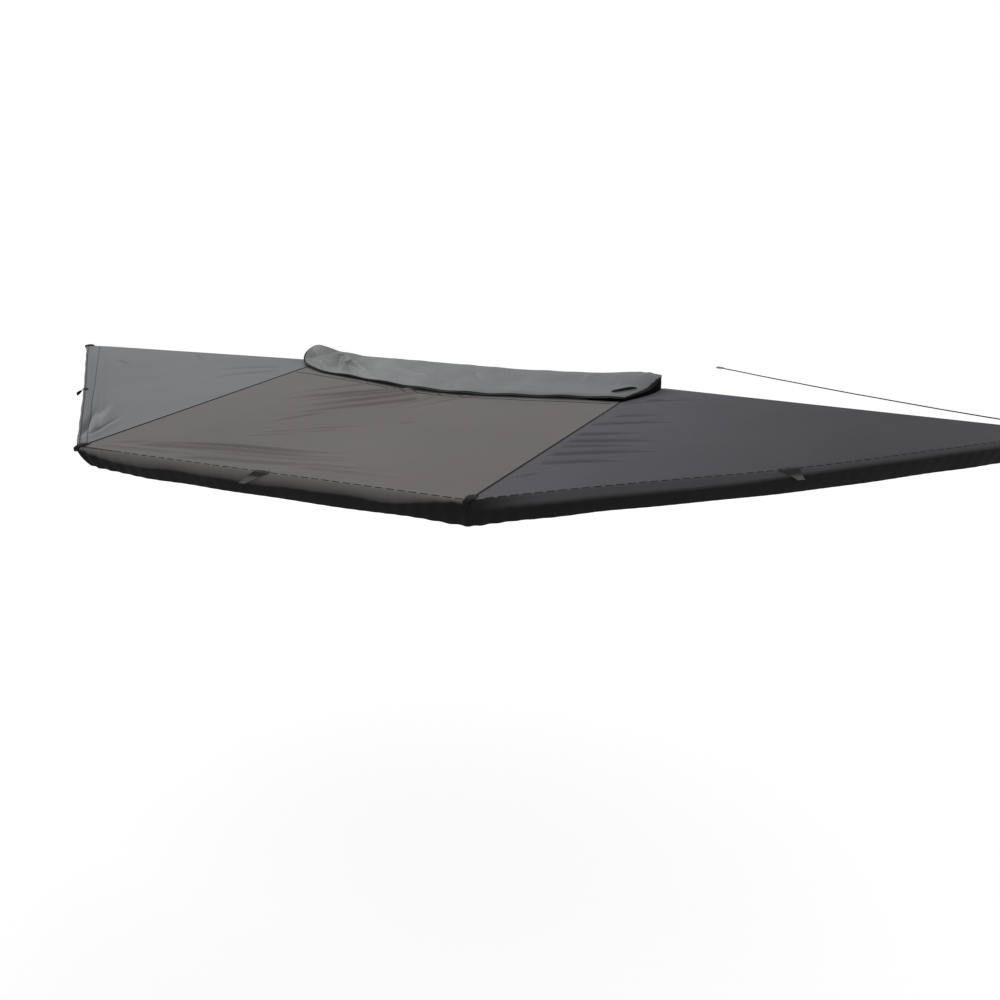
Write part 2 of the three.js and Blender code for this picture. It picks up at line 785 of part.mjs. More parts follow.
function makeValances() {
  const atFront = mitre(outward.front, outward.centre);
  const atRear = mitre(outward.centre, outward.rear);
  const frontTip = squareTo(ends.front.endArm, outward.front);
  const rearTip = squareTo(ends.rear.endArm, outward.rear);
  const inset = valanceInset;
  valance("valance_front", corner.frontEnd, corner.frontSide, frontTip, atFront, endWaves, 0, inset, endEdgeSag);
  valance("valance_centre", corner.frontSide, corner.rearSide, atFront, atRear, centreWaves, inset, 0, 0);
  valance("valance_rear", corner.rearSide, corner.rearEnd, atRear, rearTip, endWaves, 0, inset, endEdgeSag);
}

// Webbing over the edge, in a frame whose +X points outwards and whose origin is on the edge
function overEdge(width, thickness, top, fall, out) {
  const upper = clothMiddle + clothThickness / 2 + seat;
  return join(
    block([-top, out + thickness], [-width / 2, width / 2], [upper, upper + thickness]),
    block([out, out + thickness], [-width / 2, width / 2], [upper - fall, upper + thickness / 2]),
  );
}

function makeCornerStrap(group, name) {
  const strap = overEdge(strapWidth, strapThickness, strapTop, strapFall, strapOut);
  addPiece(group, name, strap, finish.webbing).position.x = armLength;
}

// The edge sags less further in, so a tie is laid at the height of the cloth under its inner end.
function makeTie(name, from, to, share, edgeSag, hub) {
  const out = outwardOf(from, to);
  const place = lerp(from, to, share);
  const reach = (place.x - hub.x) * out.x + (place.y - hub.y) * out.y;
  const innerShare = 1 - (tieTop + tieWidth / 6) / (reach * (1 - canopyStart / armLength));
  const sag = edgeSag * Math.sin(Math.PI * share) ** sagPower * innerShare ** sagPower;
  const group = groupAt(new THREE.Vector3(place.x, place.y, place.z - clothMiddle - sag), 0);
  group.rotation.z = Math.atan2(out.y, out.x);
  addPiece(group, name, overEdge(tieWidth, tieThickness, tieTop, tieFall, tieOut), finish.webbing);
}

// Cover flap

// A smooth step down from 1 at the middle to 0 at the radius.
function bump(distance, radius) {
  const share = Math.min(1, distance / radius);
  return (1 + Math.cos(Math.PI * share)) / 2;
}

function makeFlap() {
  const top = railHeight / 2 + seat + flapThickness / 2;
  const curves = Object.values(ends).map(({ end, side }) => {
    const edge = flapEdges[end];
    const place = (past, reach) => new THREE.Vector2(side * (railLength / 2 + past), -reach);
    return new THREE.QuadraticBezierCurve(
      place(edge.rootPast, railDepth / 2),
      place(edge.bendPast, edge.bendReach),
      place(edge.tipPast, edge.tipReach),
    );
  });
  const lumps = Object.values(ends).map(({ end, side, hub }) => ({
    ...flapLumps[end],
    x: hub.x + side * flapLumps[end].pastHub,
  }));
  const point = (s, t) => {
    const share = t ** flapRowPower;
    const [front, rear] = curves.map((curve) => curve.getPoint(share));
    const x = front.x + (rear.x - front.x) * s;
    const y = front.y + (rear.y - front.y) * s - flapBulge * Math.sin(Math.PI * s) * share;
    const lie = flapLie + flapThickness / 2;
    const overRail = bump(Math.max(0, -railDepth - y), flapDropReach);
    let z = lie + (top + flapTopRise - lie) * overRail;
    if (y > -railDepth) z = top + (flapTopRise * (-railDepth / 2 - y)) / (railDepth / 2);
    for (const { hub } of Object.values(ends)) {
      const beyond = Math.max(0, hub.y - hubTongueRadius - y);
      const away = Math.hypot((x - hub.x) / 2, beyond);
      z += flapHubRise * bump(away, flapHubReach) * Math.min(1, flapRows * t);
    }
    for (const lump of lumps) {
      z += lump.height * bump(Math.hypot(x - lump.x, y + lump.reach), lump.radius);
    }
    z += (flapWave / 2) * (1 + Math.sin(2 * Math.PI * flapWaves * s + flapWaveTurn * t)) * t;
    return new THREE.Vector3(x, y, z);
  };
  addPiece(awning, "cover_flap", sheet(point, flapSteps, flapRows, flapThickness), finish.cover);
}

// Stay rope: its route from the tip ring to the hook, chosen by hand
const ropeRoute = [
  [2890, -121.7, 5],
  [2789, -89, 6],
  [2692, -58, 8],
  [2595, -27, 9],
  [2498, 3, 11],
  [2401, 33, 13],
  [2304, 63, 16],
  [2207, 93, 19],
  [2110, 124, 22],
  [2013, 154, 25],
  [1916, 184, 29],
  [1819, 214, 33],
  [1722, 244, 38],
  [1625, 275, 42],
  [1528, 305, 47],
  [1431, 335, 53],
  [1334, 365, 58],
];

function makeStay() {
  const points = ropeRoute.map(([x, y, z]) => new THREE.Vector3(x, y, z));
  const curve = new THREE.CatmullRomCurve3(points);
  const section = new THREE.Shape();
  section.absarc(0, 0, ropeDiameter / 2, 0, 2 * Math.PI);
  const geometry = new THREE.ExtrudeGeometry(section, {
    extrudePath: curve,
    steps: ropeSteps,
    curveSegments: hexSides / 2 + 1,
    bevelEnabled: false,
  });
  addPiece(awning, "stay_rope", solidOf(geometry), finish.webbing);

  const stop = points[points.length - 1];
  const towards = stop.clone().sub(points[points.length - 2]).normalize();
  const shape = new THREE.Shape();
  const radius = hookWidth / 2;
  const straight = hookLength / 2 - radius;
  shape.absarc(straight, 0, radius, -Math.PI / 2, Math.PI / 2);
  shape.absarc(-straight, 0, radius, Math.PI / 2, (3 * Math.PI) / 2);
  const hole = new THREE.Path();
  hole.absarc(straight, 0, radius - hookBar, -Math.PI / 2, Math.PI / 2);
  hole.absarc(-straight, 0, radius - hookBar, Math.PI / 2, (3 * Math.PI) / 2);
  shape.holes.push(hole);
  const hook = new THREE.ExtrudeGeometry(shape, {
    depth: hookBar,
    curveSegments: hexSides,
    bevelEnabled: false,
  }).translate(0, 0, -hookBar / 2);
  const mesh = addPiece(awning, "stay_hook", solidOf(hook), finish.zinc);
  mesh.position.copy(stop).addScaledVector(towards, hookLength / 2 + seat);
  mesh.rotation.z = Math.atan2(towards.y, towards.x);
}

makeRail();
for (const end of Object.values(ends)) {
  makeRailCap(end);
  makeRackBracket(end);
  makeHubBracket(end);
  makeSideKnuckle(end);
  makeEndKnuckle(end);
  makeArmTube(end.sideArm, `${end.end}_side_tube`);
  makeArmTube(end.endArm, `${end.end}_end_tube`);
  makeTipCap(end.sideArm, `${end.end}_side_tip_cap`, false);
  makeTipCap(end.endArm, `${end.end}_end_tip_cap`, end.side > 0);
  makeCornerStrap(end.sideArm, `${end.end}_side_corner_strap`);
  makeCornerStrap(end.endArm, `${end.end}_end_corner_strap`);
  makeLeg(end);
  makeEndPanel(end);
}
makeCentrePanel();
makeValances();
makeTie("tie_front", corner.frontEnd, corner.frontSide, 1 - endTieShare, endEdgeSag, ends.front.hub);
makeTie("tie_centre", corner.frontSide, corner.rearSide, centreTieShare, 0, ends.front.hub);
makeTie("tie_rear", corner.rearSide, corner.rearEnd, endTieShare, endEdgeSag, ends.rear.hub);
makeFlap();
makeStay();

export default awning;
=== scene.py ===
import math

import bpy
import numpy as np
from mathutils import Matrix, Vector


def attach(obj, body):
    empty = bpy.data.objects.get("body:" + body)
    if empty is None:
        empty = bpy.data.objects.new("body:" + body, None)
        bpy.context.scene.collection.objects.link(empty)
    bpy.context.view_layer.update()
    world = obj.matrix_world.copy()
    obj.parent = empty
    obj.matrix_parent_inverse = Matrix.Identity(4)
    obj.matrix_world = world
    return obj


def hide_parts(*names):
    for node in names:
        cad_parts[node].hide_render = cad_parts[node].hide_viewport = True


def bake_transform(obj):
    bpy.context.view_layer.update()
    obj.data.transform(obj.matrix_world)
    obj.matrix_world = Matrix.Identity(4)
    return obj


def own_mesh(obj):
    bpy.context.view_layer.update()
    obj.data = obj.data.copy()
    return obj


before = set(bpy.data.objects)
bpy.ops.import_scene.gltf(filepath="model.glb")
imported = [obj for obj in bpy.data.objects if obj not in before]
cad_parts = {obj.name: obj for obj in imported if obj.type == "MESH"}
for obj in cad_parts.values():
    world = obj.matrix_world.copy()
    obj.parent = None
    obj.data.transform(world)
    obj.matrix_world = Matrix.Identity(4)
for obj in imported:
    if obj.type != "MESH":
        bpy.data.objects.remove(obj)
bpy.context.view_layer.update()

# Camera, as the photograph was taken
CAMERA_PLACE = (2.08728, -4.33257, 1.03129)
CAMERA_YAW = 24.38209
CAMERA_PITCH = 20.82613
CAMERA_ROLL = -0.47802
FOCAL_PIXELS = 832.237
PHOTO_WIDTH = 1000
SENSOR_WIDTH = 36.0

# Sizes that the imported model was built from, and the rope's route in it
HUB_SPACING = 2.0
ARM_LENGTH = 1.890
SIDE_ARM_LEAN = 3.4
END_ARM_LEAN = 2.3
END_ARM_FALL = 0.6
NEST_PITCH = 0.036
INNER_LANE = 0.064
RAIL_LENGTH = 2.140
RAIL_DEPTH = 0.040
RAIL_HEIGHT = 0.080
ARM_TOP = 0.016
SEAT = 0.0003
CLOTH_THICKNESS = 0.0015
CLOTH_MIDDLE = ARM_TOP + SEAT + CLOTH_THICKNESS / 2
CANOPY_START = 0.070
CANOPY_RAIL_GAP = 0.009
CANOPY_HUB_GAP = 0.062
CENTRE_WIDTH = HUB_SPACING - 2 * CANOPY_HUB_GAP
CANOPY_EDGE_COVER = 0.015
CANOPY_HUB_SHARE = 0.1
SEAM_GAP = 0.0002
CENTRE_SAG = 0.028
END_EDGE_SAG = 0.018
SAG_POWER = 3
VALANCE_DROP = 0.095
VALANCE_OUT = 0.0095
VALANCE_ARC = VALANCE_OUT * math.pi / 2
VALANCE_RUN = VALANCE_ARC + VALANCE_DROP - VALANCE_OUT
VALANCE_INSET = 0.060
VALANCE_WAVE = 0.003
END_WAVES = 6
CENTRE_WAVES = 4
STRAP_WIDTH = 0.025
STRAP_THICKNESS = 0.0025
STRAP_OUT = 0.016
TIE_TOP = 0.036
TIE_WIDTH = 0.022
TIE_THICKNESS = 0.0015
TIE_OUT = 0.012
FLAP_THICKNESS = 0.002
FLAP_BULGE = 0.160
FLAP_TOP_RISE = 0.006
FLAP_LIE = 0.023
FLAP_DROP_REACH = 0.240
FLAP_HUB_RISE = 0.020
FLAP_HUB_REACH = 0.136
FLAP_RIPPLE = 0.0025
FLAP_RIPPLES = 7
FLAP_RIPPLE_TURN = 3
HUB_TONGUE_RADIUS = 0.020
ROPE_DIAMETER = 0.006
ROPE_ROUTE = (
    (2.890, -0.1217, 0.005),
    (2.789, -0.089, 0.006),
    (2.692, -0.058, 0.008),
    (2.595, -0.027, 0.009),
    (2.498, 0.003, 0.011),
    (2.401, 0.033, 0.013),
    (2.304, 0.063, 0.016),
    (2.207, 0.093, 0.019),
    (2.110, 0.124, 0.022),
    (2.013, 0.154, 0.025),
    (1.916, 0.184, 0.029),
    (1.819, 0.214, 0.033),
    (1.722, 0.244, 0.038),
    (1.625, 0.275, 0.042),
    (1.528, 0.305, 0.047),
    (1.431, 0.335, 0.053),
    (1.334, 0.365, 0.058),
)

# Where the drawn cloth lies otherwise than the model's plain one
CORNER_GAP = -0.0004
END_SAGS = {"front": 0.014, "rear": 0.004}
VALANCE_THICKNESS = 0.0011
FLAP_DRAWN_THICKNESS = 0.0018
GUSSET_THICKNESS = 0.0012
WIDTH_SEAM_SPLIT = 0.57

# The flap's side edges are curves in plan from a root through a bend to a tip. Past is how far beyond the
# rail's end a place lies, and reach how far out from the rail's back.
FLAP_EDGES = {
    "front": {
        "root_past": 0.030, "bend_past": 0.140, "bend_reach": 0.230, "tip_past": -0.276, "tip_reach": 0.430,
    },
    "rear": {
        "root_past": 0.006, "bend_past": 0.062, "bend_reach": 0.150, "tip_past": -0.080, "tip_reach": 0.430,
    },
}
FLAP_LUMPS = {
    "front": {"past_hub": 0.112, "reach": 0.052, "height": 0.040, "radius": 0.160},
    "rear": {"past_hub": -0.110, "reach": 0.020, "height": 0.021, "radius": 0.720},
}

# The flap is held down near its root, no lower than its floor and no deeper in its valleys than the fold
# depth. Its free edge is pulled in and lies on the sagging canopy.
FLAP_ROOT_HOLD = 0.13
FLAP_FLOOR = 0.0222
FLAP_FOLD_DEPTH = 0.015
FLAP_PULLED_IN = 0.062
FLAP_SHARE_OF_SAG = 0.75
FLAP_HEM = 0.992

# How far out the seams along the edge run, and how far along it the centre's solid start reaches
EDGE_SEAM_AT = 0.9985
START_SEAM_AT = 0.9975
START_SEAM_REACH = 0.125

# The flap's hand slot: its ends in plan, how far it and its lip spread down the flap, how high it lies and
# how much it swells
SLOT_ENDS = ((0.892, -0.306), (1.006, -0.238))
SLOT_SPREAD = 0.088
LIP_SPREAD = 0.096
SLOT_LIFT = 0.0022
SLOT_SWELL = 0.0040

# Where along the flap its gusset starts, and how high the gusset's foot is
GUSSET_START = 0.86
GUSSET_FOOT = 0.0185

# How far a corner's strap reaches in over the cloth and how far it falls
STRAP_TOP = 0.052
STRAP_FALL = 0.017

# A strap's buckle: its length and width, the radius of its bars and how high they lie
BUCKLE_SIZE = (0.026, 0.031, 0.0020, 0.0018)

# The height and the length of the slow waves that make cloth uneven
END_UNEVENNESS = (0.0022, 0.9)
CENTRE_UNEVENNESS = (0.0020, 1.1)
FLAP_UNEVENNESS = (0.0025, 0.42)

# How finely the cloth is drawn
END_PANEL_STEPS = (320, 230)
CENTRE_PANEL_STEPS = 200
VALANCE_STEPS = (260, 22)
FLAP_STEPS = (260, 80)
STITCH_STEP = 0.003
SHARP_ANGLE = 40

# How long each stitch is, the gap to the next one, and how wide and high it is, and a tie's tacks
EDGE_STITCH = (0.036, 0.009, 0.0044, 0.0013)
HEM_STITCH = (0.0060, 0.002, 0.0030, 0.0010)
TACK_RADIUS = 0.0009
TACK_HALF = 0.009

# The canvas: the step of its thicker yarns, how far they stand out, and how deep the weave is
YARN_STEP = 0.0052
YARN_HEIGHT = 0.00005
WEAVE_HEIGHT = 0.00009

# The steps of the webbing's ribs and rows, and the rope's strands and how long a turn of them is
WEBBING_RIB_STEP = 0.0017
WEBBING_ROW_STEP = 0.0048
ROPE_STRANDS = 4
ROPE_LAY = 0.012

# The puckers of the valance: how far they reach from a corner, their steps and their heights
PUCKER_REACH = 0.16
PUCKER_STEP = 0.062
PUCKER_BROAD_STEP = 0.34
PUCKER_HEIGHT = 0.0048
PUCKER_FINE_HEIGHT = 0.0005
PUCKER_BROAD_HEIGHT = 0.0015
PUCKER_HELD = 0.012


SQUARE = ((-1, -1), (1, -1), (1, 1), (-1, 1))


def smooth_step(value):
    value = np.clip(value, 0, 1)
    return value * value * (3 - 2 * value)


def unit(vectors):
    return vectors / np.linalg.norm(vectors, axis=-1, keepdims=True)


def raised(height):
    return np.array((0, 0, height))


def lengths_along(line):
    return np.concatenate(([0], np.cumsum(np.linalg.norm(np.diff(line, axis=0), axis=1))))


# Camera

def make_camera():
    yaw, pitch, roll = (math.radians(a) for a in (CAMERA_YAW, CAMERA_PITCH, CAMERA_ROLL))
    ahead = Vector((-math.sin(yaw) * math.cos(pitch), math.cos(yaw) * math.cos(pitch), -math.sin(pitch)))
    level = ahead.cross(Vector((0, 0, 1))).normalized()
    over = level.cross(ahead)
    right = math.cos(roll) * level + math.sin(roll) * over
    up = math.cos(roll) * over - math.sin(roll) * level
    data = bpy.data.cameras.new("camera")
    data.sensor_fit = "HORIZONTAL"
    data.sensor_width = SENSOR_WIDTH
    data.lens = FOCAL_PIXELS / PHOTO_WIDTH * SENSOR_WIDTH
    data.clip_end = 200
    camera = bpy.data.objects.new("camera", data)
    turn = Matrix((right, up, -ahead)).transposed().to_4x4()
    camera.matrix_world = Matrix.Translation(CAMERA_PLACE) @ turn
    bpy.context.scene.collection.objects.link(camera)
    bpy.context.scene.camera = camera


make_camera()


# Arms: where each one starts and the directions along it, to its side and up from it

class Arm:
    def __init__(self, origin, degrees, fall=0.0):
        turn = math.radians(degrees)
        dip = math.radians(fall)
        self.origin = np.array(origin, float)
        level, drop = math.cos(dip), math.sin(dip)
        self.along = np.array((math.cos(turn) * level, math.sin(turn) * level, -drop))
        self.side = np.array((-math.sin(turn), math.cos(turn), 0.0))
        self.up = np.array((math.cos(turn) * drop, math.sin(turn) * drop, level))

    def at(self, along, lateral=0.0, up=CLOTH_MIDDLE):
        along, lateral, up = np.broadcast_arrays(np.asarray(along, float), lateral, up)
        place = along[..., None] * self.along + lateral[..., None] * self.side + up[..., None] * self.up
        return self.origin + place


class End:
    def __init__(self, name):
        self.name = name
        self.side = {"front": -1, "rear": 1}[name]
        lane = {"front": INNER_LANE + 2 * NEST_PITCH, "rear": INNER_LANE}[name]
        side_angle = -90 - self.side * SIDE_ARM_LEAN
        end_angle = -END_ARM_LEAN if self.side > 0 else 180 + END_ARM_LEAN
        to_pin = math.radians(side_angle + self.side * 90)
        self.hub = np.array((self.side * HUB_SPACING / 2, -lane, 0.0))
        self.pin = self.hub + NEST_PITCH * np.array((math.cos(to_pin), math.sin(to_pin), 0.0))
        self.side_arm = Arm(self.hub, side_angle)
        self.end_arm = Arm(self.pin, end_angle, END_ARM_FALL)


FRONT = End("front")
REAR = End("rear")
ENDS = (FRONT, REAR)
TIP_A = FRONT.end_arm.at(ARM_LENGTH)
TIP_B = FRONT.side_arm.at(ARM_LENGTH)
TIP_C = REAR.side_arm.at(ARM_LENGTH)
TIP_D = REAR.end_arm.at(ARM_LENGTH)


# Meshes

def add_mesh(name, points, faces, material, uvs=None, smooth=True):
    mesh = bpy.data.meshes.new(name)
    mesh.from_pydata(np.asarray(points, float).reshape(-1, 3).tolist(), [], faces)
    if uvs is not None:
        layer = mesh.uv_layers.new(name="UVMap")
        order = np.zeros(len(mesh.loops), int)
        mesh.loops.foreach_get("vertex_index", order)
        layer.data.foreach_set("uv", np.asarray(uvs, float).reshape(-1, 2)[order].ravel())
    mesh.materials.append(material)
    mesh.polygons.foreach_set("use_smooth", np.full(len(mesh.polygons), smooth))
    mesh.update()
    piece = bpy.data.objects.new(name, mesh)
    bpy.context.scene.collection.objects.link(piece)
    return piece


def grid_faces(rows, columns):
    corner = (np.arange(rows - 1)[:, None] * columns + np.arange(columns - 1)[None, :]).ravel()
    return np.stack((corner, corner + 1, corner + columns + 1, corner + columns), 1).tolist()


def add_grid(name, points, plan, material):
    rows, columns = points.shape[:2]
    return add_mesh(name, points, grid_faces(rows, columns), material, plan)


# A value at every point, which a material reads by its name
def add_level(piece, name, values):
    attribute = piece.data.attributes.new(name, "FLOAT", "POINT")
    attribute.data.foreach_set("value", values.astype(np.float32).ravel())


def thicken(piece, thickness):
    solidify = piece.modifiers.new("thickness", "SOLIDIFY")
    solidify.thickness = thickness
    solidify.offset = 0
    return piece


# A strip of even thickness with rounded edges that follows a line and lies across it in the given direction
def add_ribbon(name, line, across, width, thickness, material, edge=0.35, taper=1.0):
    line = np.asarray(line, float)
    across = unit(np.broadcast_to(np.asarray(across, float), line.shape))
    forward = unit(np.gradient(line, axis=0))
    up = unit(np.cross(forward, across))
    half = width / 2
    lip = thickness * edge
    section = (
        (-half, -thickness / 2 + lip), (-half, thickness / 2 - lip), (-half + lip, thickness / 2),
        (half - lip, thickness / 2), (half, thickness / 2 - lip), (half, -thickness / 2 + lip),
        (half - lip, -thickness / 2), (-half + lip, -thickness / 2),
    )
    across = across * np.broadcast_to(np.asarray(taper, float), (len(line),))[:, None]
    return add_swept(name, line, across, up, section, lengths_along(line), material)


# The faces of a closed section carried along in rows, with a face at both ends
def ring_faces(rows, count, first=0):
    faces = []
    for here in range(first, first + (rows - 1) * count, count):
        there = here + count
        for i in range(count):
            k = (i + 1) % count
            faces.append((here + i, here + k, there + k, there + i))
    last = first + (rows - 1) * count
    faces.append(tuple(reversed(range(first, first + count))))
    faces.append(tuple(range(last, last + count)))
    return faces


# A closed section swept along a line. The section is in across and up.
def add_swept(name, line, across, up, section, run, material):
    section = np.asarray(section, float)
    sideways = section[None, :, 0, None] * across[:, None]
    upwards = section[None, :, 1, None] * up[:, None]
    points = line[:, None] + sideways + upwards
    uvs = np.zeros((len(line), len(section), 2))
    uvs[..., 0] = section[None, :, 0] + section[None, :, 1]
    uvs[..., 1] = run[:, None]
    piece = add_mesh(name, points, ring_faces(len(line), len(section)), material, uvs)
    piece.data.set_sharp_from_angle(angle=math.radians(SHARP_ANGLE))
    return piece


# A round tube along a line, with the section turned as little as the line allows
def tube_points(line, radius, sides):
    line = np.asarray(line, float)
    forward = unit(np.gradient(line, axis=0))
    across = [unit(np.cross(forward[0], (0.0, 0.0, 1.0)))]
    for direction in forward[1:]:
        across.append(unit(across[-1] - direction * (across[-1] @ direction)))
    across = np.array(across)
    up = np.cross(across, forward)
    turn = np.linspace(0, 2 * math.pi, sides, endpoint=False)
    radius = np.broadcast_to(np.asarray(radius, float), (len(line),))
    ring = across[:, None] * np.cos(turn)[None, :, None] + up[:, None] * np.sin(turn)[None, :, None]
    return line[:, None] + ring * radius[:, None, None]


def add_tube(name, line, radius, material, sides=10, closed=False):
    points = tube_points(line, radius, sides)
    rows = len(points)
    uvs = np.zeros((rows, sides, 2))
    uvs[..., 0] = np.linspace(0, 1, sides, endpoint=False)[None, :]
    uvs[..., 1] = lengths_along(np.asarray(line, float))[:, None]
    faces = []
    for j in range(rows if closed else rows - 1):
        below = (j + 1) % rows
        for i in range(sides):
            k = (i + 1) % sides
            faces.append((j * sides + i, below * sides + i, below * sides + k, j * sides + k))
    if not closed:
        faces.append(tuple(range(sides)))
        faces.append(tuple(reversed([(rows - 1) * sides + i for i in range(sides)])))
    return add_mesh(name, points, faces, material, uvs)


# A smooth curve through points, with the given number of steps between two of them
def through(points, steps):
    points = np.asarray(points, float)
    padded = np.vstack((2 * points[0] - points[1], points, 2 * points[-1] - points[-2]))
    line = []
    for k in range(len(points) - 1):
        a, b, c, d = padded[k:k + 4]
        for u in np.arange(steps) / steps:
            bend = 2 * a - 5 * b + 4 * c - d + u * (3 * (b - c) + d - a)
            line.append(b + 0.5 * u * (c - a + u * bend))
    line.append(points[-1])
    return np.array(line)


def join_pieces(name, pieces):
    with bpy.context.temp_override(active_object=pieces[0], selected_editable_objects=pieces):
        bpy.ops.object.join()
    pieces[0].name = name
    pieces[0].data.name = name
    return pieces[0]


# Materials

class Nodes:
    def __init__(self, tree):
        self.tree = tree

    def node(self, kind, inputs=(), **settings):
        node = self.tree.nodes.new(kind)
        for key, value in settings.items():
            setattr(node, key, value)
        for key, value in dict(inputs).items():
            self.feed(value, node.inputs[key])
        return node

    def feed(self, value, socket):
        if isinstance(value, bpy.types.NodeSocket):
            self.tree.links.new(value, socket)
        else:
            socket.default_value = value

    def coordinates(self, kind, scale=(1, 1, 1)):
        source = self.node("ShaderNodeTexCoord").outputs[kind]
        return self.node("ShaderNodeMapping", {"Vector": source, "Scale": scale}).outputs[0]

    def noise(self, where, scale, detail=3.0, roughness=0.55):
        inputs = {"Vector": where, "Scale": scale, "Detail": detail, "Roughness": roughness}
        return self.node("ShaderNodeTexNoise", inputs).outputs[0]

    def math(self, operation, a, b=0.0):
        return self.node("ShaderNodeMath", {0: a, 1: b}, operation=operation).outputs[0]

    def times(self, a, b):
        return self.math("MULTIPLY", a, b)

    def plus(self, a, b):
        return self.math("ADD", a, b)

    # A wave with a step in metres
    def wave(self, along, step):
        return self.math("SINE", self.times(along, 2 * math.pi / step))

    def spread(self, value, low, high, to_low=0.0, to_high=1.0):
        inputs = {"Value": value, "From Min": low, "From Max": high, "To Min": to_low, "To Max": to_high}
        return self.node("ShaderNodeMapRange", inputs).outputs[0]

    # Noise keeps to the middle of its range, so that part is spread out.
    def level(self, noise, to_low=0.0, to_high=1.0):
        return self.spread(noise, 0.3, 0.7, to_low, to_high)

    def attribute(self, name):
        return self.node("ShaderNodeAttribute", attribute_name=name).outputs["Fac"]

    def axes(self, where):
        return self.node("ShaderNodeSeparateXYZ", {0: where}).outputs

    def mix(self, share, a, b, blend="MIX"):
        node = self.node("ShaderNodeMix", data_type="RGBA", blend_type=blend)
        for socket, value in (("Factor", share), ("A", a), ("B", b)):
            self.feed((*value, 1) if isinstance(value, tuple) else value, node.inputs[socket])
        return node.outputs["Result"]

    # The colour at two levels of brightness
    def tint(self, share, colour, low, high):
        return self.mix(share, scaled(colour, low), scaled(colour, high))


class Shader(Nodes):
    def __init__(self, name, colour, roughness, metallic=0.0, **levels):
        self.material = bpy.data.materials.new(name)
        self.material.use_nodes = True
        super().__init__(self.material.node_tree)
        self.surface = self.tree.nodes["Principled BSDF"]
        self.material.diffuse_color = (*colour, 1)
        self.set("Base Color", (*colour, 1))
        self.set("Roughness", roughness)
        self.set("Metallic", metallic)
        for level, value in levels.items():
            self.set(level.replace("_", " "), value)

    # A constant or a node's output
    def set(self, socket, value):
        self.feed(value, self.surface.inputs[socket])

    def colour(self, value):
        self.set("Base Color", value)

    def roughness(self, value):
        self.set("Roughness", value)

    def colour_so_far(self):
        return self.surface.inputs["Base Color"].links[0].from_socket

    def multiply(self, value):
        self.colour(self.mix(1.0, self.colour_so_far(), value, "MULTIPLY"))

    # Heights are in metres.
    def bump(self, height, strength=1.0):
        inputs = {"Height": height, "Strength": strength, "Distance": 1.0}
        self.set("Normal", self.node("ShaderNodeBump", inputs).outputs[0])


# A colour of 0 to 255, as a screen shows it, made linear
def grey(red, green, blue):
    def linear(value):
        value = value / 255
        return value / 12.92 if value <= 0.04045 else ((value + 0.055) / 1.055) ** 2.4
    return tuple(linear(v) for v in (red, green, blue))


def scaled(colour, share):
    return tuple(v * share for v in colour)


# Coated canvas: a fine weave with a thicker yarn every few millimetres, faint blotches and a dull sheen
def cloth_shader(name, colour, roughness=0.8, sheen=0.05, blotch=0.08):
    levels = {"Sheen_Weight": sheen, "Sheen_Roughness": 0.5, "Specular_IOR_Level": 0.2}
    shader = Shader(name, colour, roughness, **levels)
    uv = shader.coordinates("UV")
    wide = shader.noise(uv, 1.3, 4.0)
    fine = shader.noise(uv, 23.0, 3.0)
    blotches = shader.plus(shader.level(wide, 0, 0.7), shader.level(fine, 0, 0.3))
    tone = shader.tint(blotches, colour, 1 - blotch, 1 + blotch)
    yarns = []
    for axis in shader.axes(uv)[:2]:
        yarn = shader.math("ABSOLUTE", shader.wave(axis, YARN_STEP))
        yarns.append(shader.math("POWER", yarn, 8.0))
    grid = shader.math("MAXIMUM", *yarns)
    shader.colour(shader.mix(shader.times(grid, 0.16), tone, scaled(colour, 0.8)))
    weave = shader.noise(shader.coordinates("UV", (1400, 1400, 1400)), 1.0, 1.0)
    woven = shader.times(weave, WEAVE_HEIGHT)
    shader.bump(shader.plus(shader.times(grid, YARN_HEIGHT), woven), 0.5)
    shader.roughness(shader.level(fine, roughness - 0.05, roughness + 0.05))
    return shader


# A near-black lining cloth. It also stands as painted shade for the flap's slot opening and its gusset.
def make_lining():
    shader = cloth_shader("black_lining_and_shade", scaled(BLACK_CLOTH, 0.4), 0.9, 0.0)
    shader.set("Specular IOR Level", 0.06)
    return shader.material


# The front panel's sharp folds at its corner are painted lighter on their ridges and darker in their
# valleys, a painted highlight and painted shade.
def make_front_cloth():
    shader = cloth_shader("front_canopy_cloth", FRONT_GREY)
    shader.multiply(shader.spread(shader.attribute("fold_shade"), 0.0, 1.0, 0.60, 1.40))
    return shader.material


# The rear panel is painted darker towards its outer tip, a painted shade.
def make_rear_cloth():
    shader = cloth_shader("rear_canopy_cloth", REAR_GREY)
    share = shader.spread(shader.axes(shader.coordinates("UV"))[0], 0.95, 2.1)
    shader.multiply(shader.mix(share, (1.0, 1.0, 1.0), (0.55, 0.55, 0.56)))
    return shader.material


# The valance has a panel's grey painted on its shoulder, a painted highlight. Just below that it is painted
# darkest, a painted shade, and it gets a little lighter towards its hem.
def make_valance_cloth(name, colour, shoulder_highlight):
    shader = cloth_shader(name, colour, 0.62, 0.0)
    shader.set("Specular IOR Level", 0.22)
    share = shader.attribute("shoulder_highlight")
    down = shader.axes(shader.coordinates("UV"))[1]
    # Painted shade: the valance is darkest just below its shoulder and a little lighter towards its hem.
    painted_shade = shader.tint(shader.spread(down, -0.040, -0.095), colour, 0.3, 0.9)
    shaded = shader.mix(0.85, shader.colour_so_far(), painted_shade)
    shader.colour(shader.mix(share, shaded, shoulder_highlight))
    return shader.material


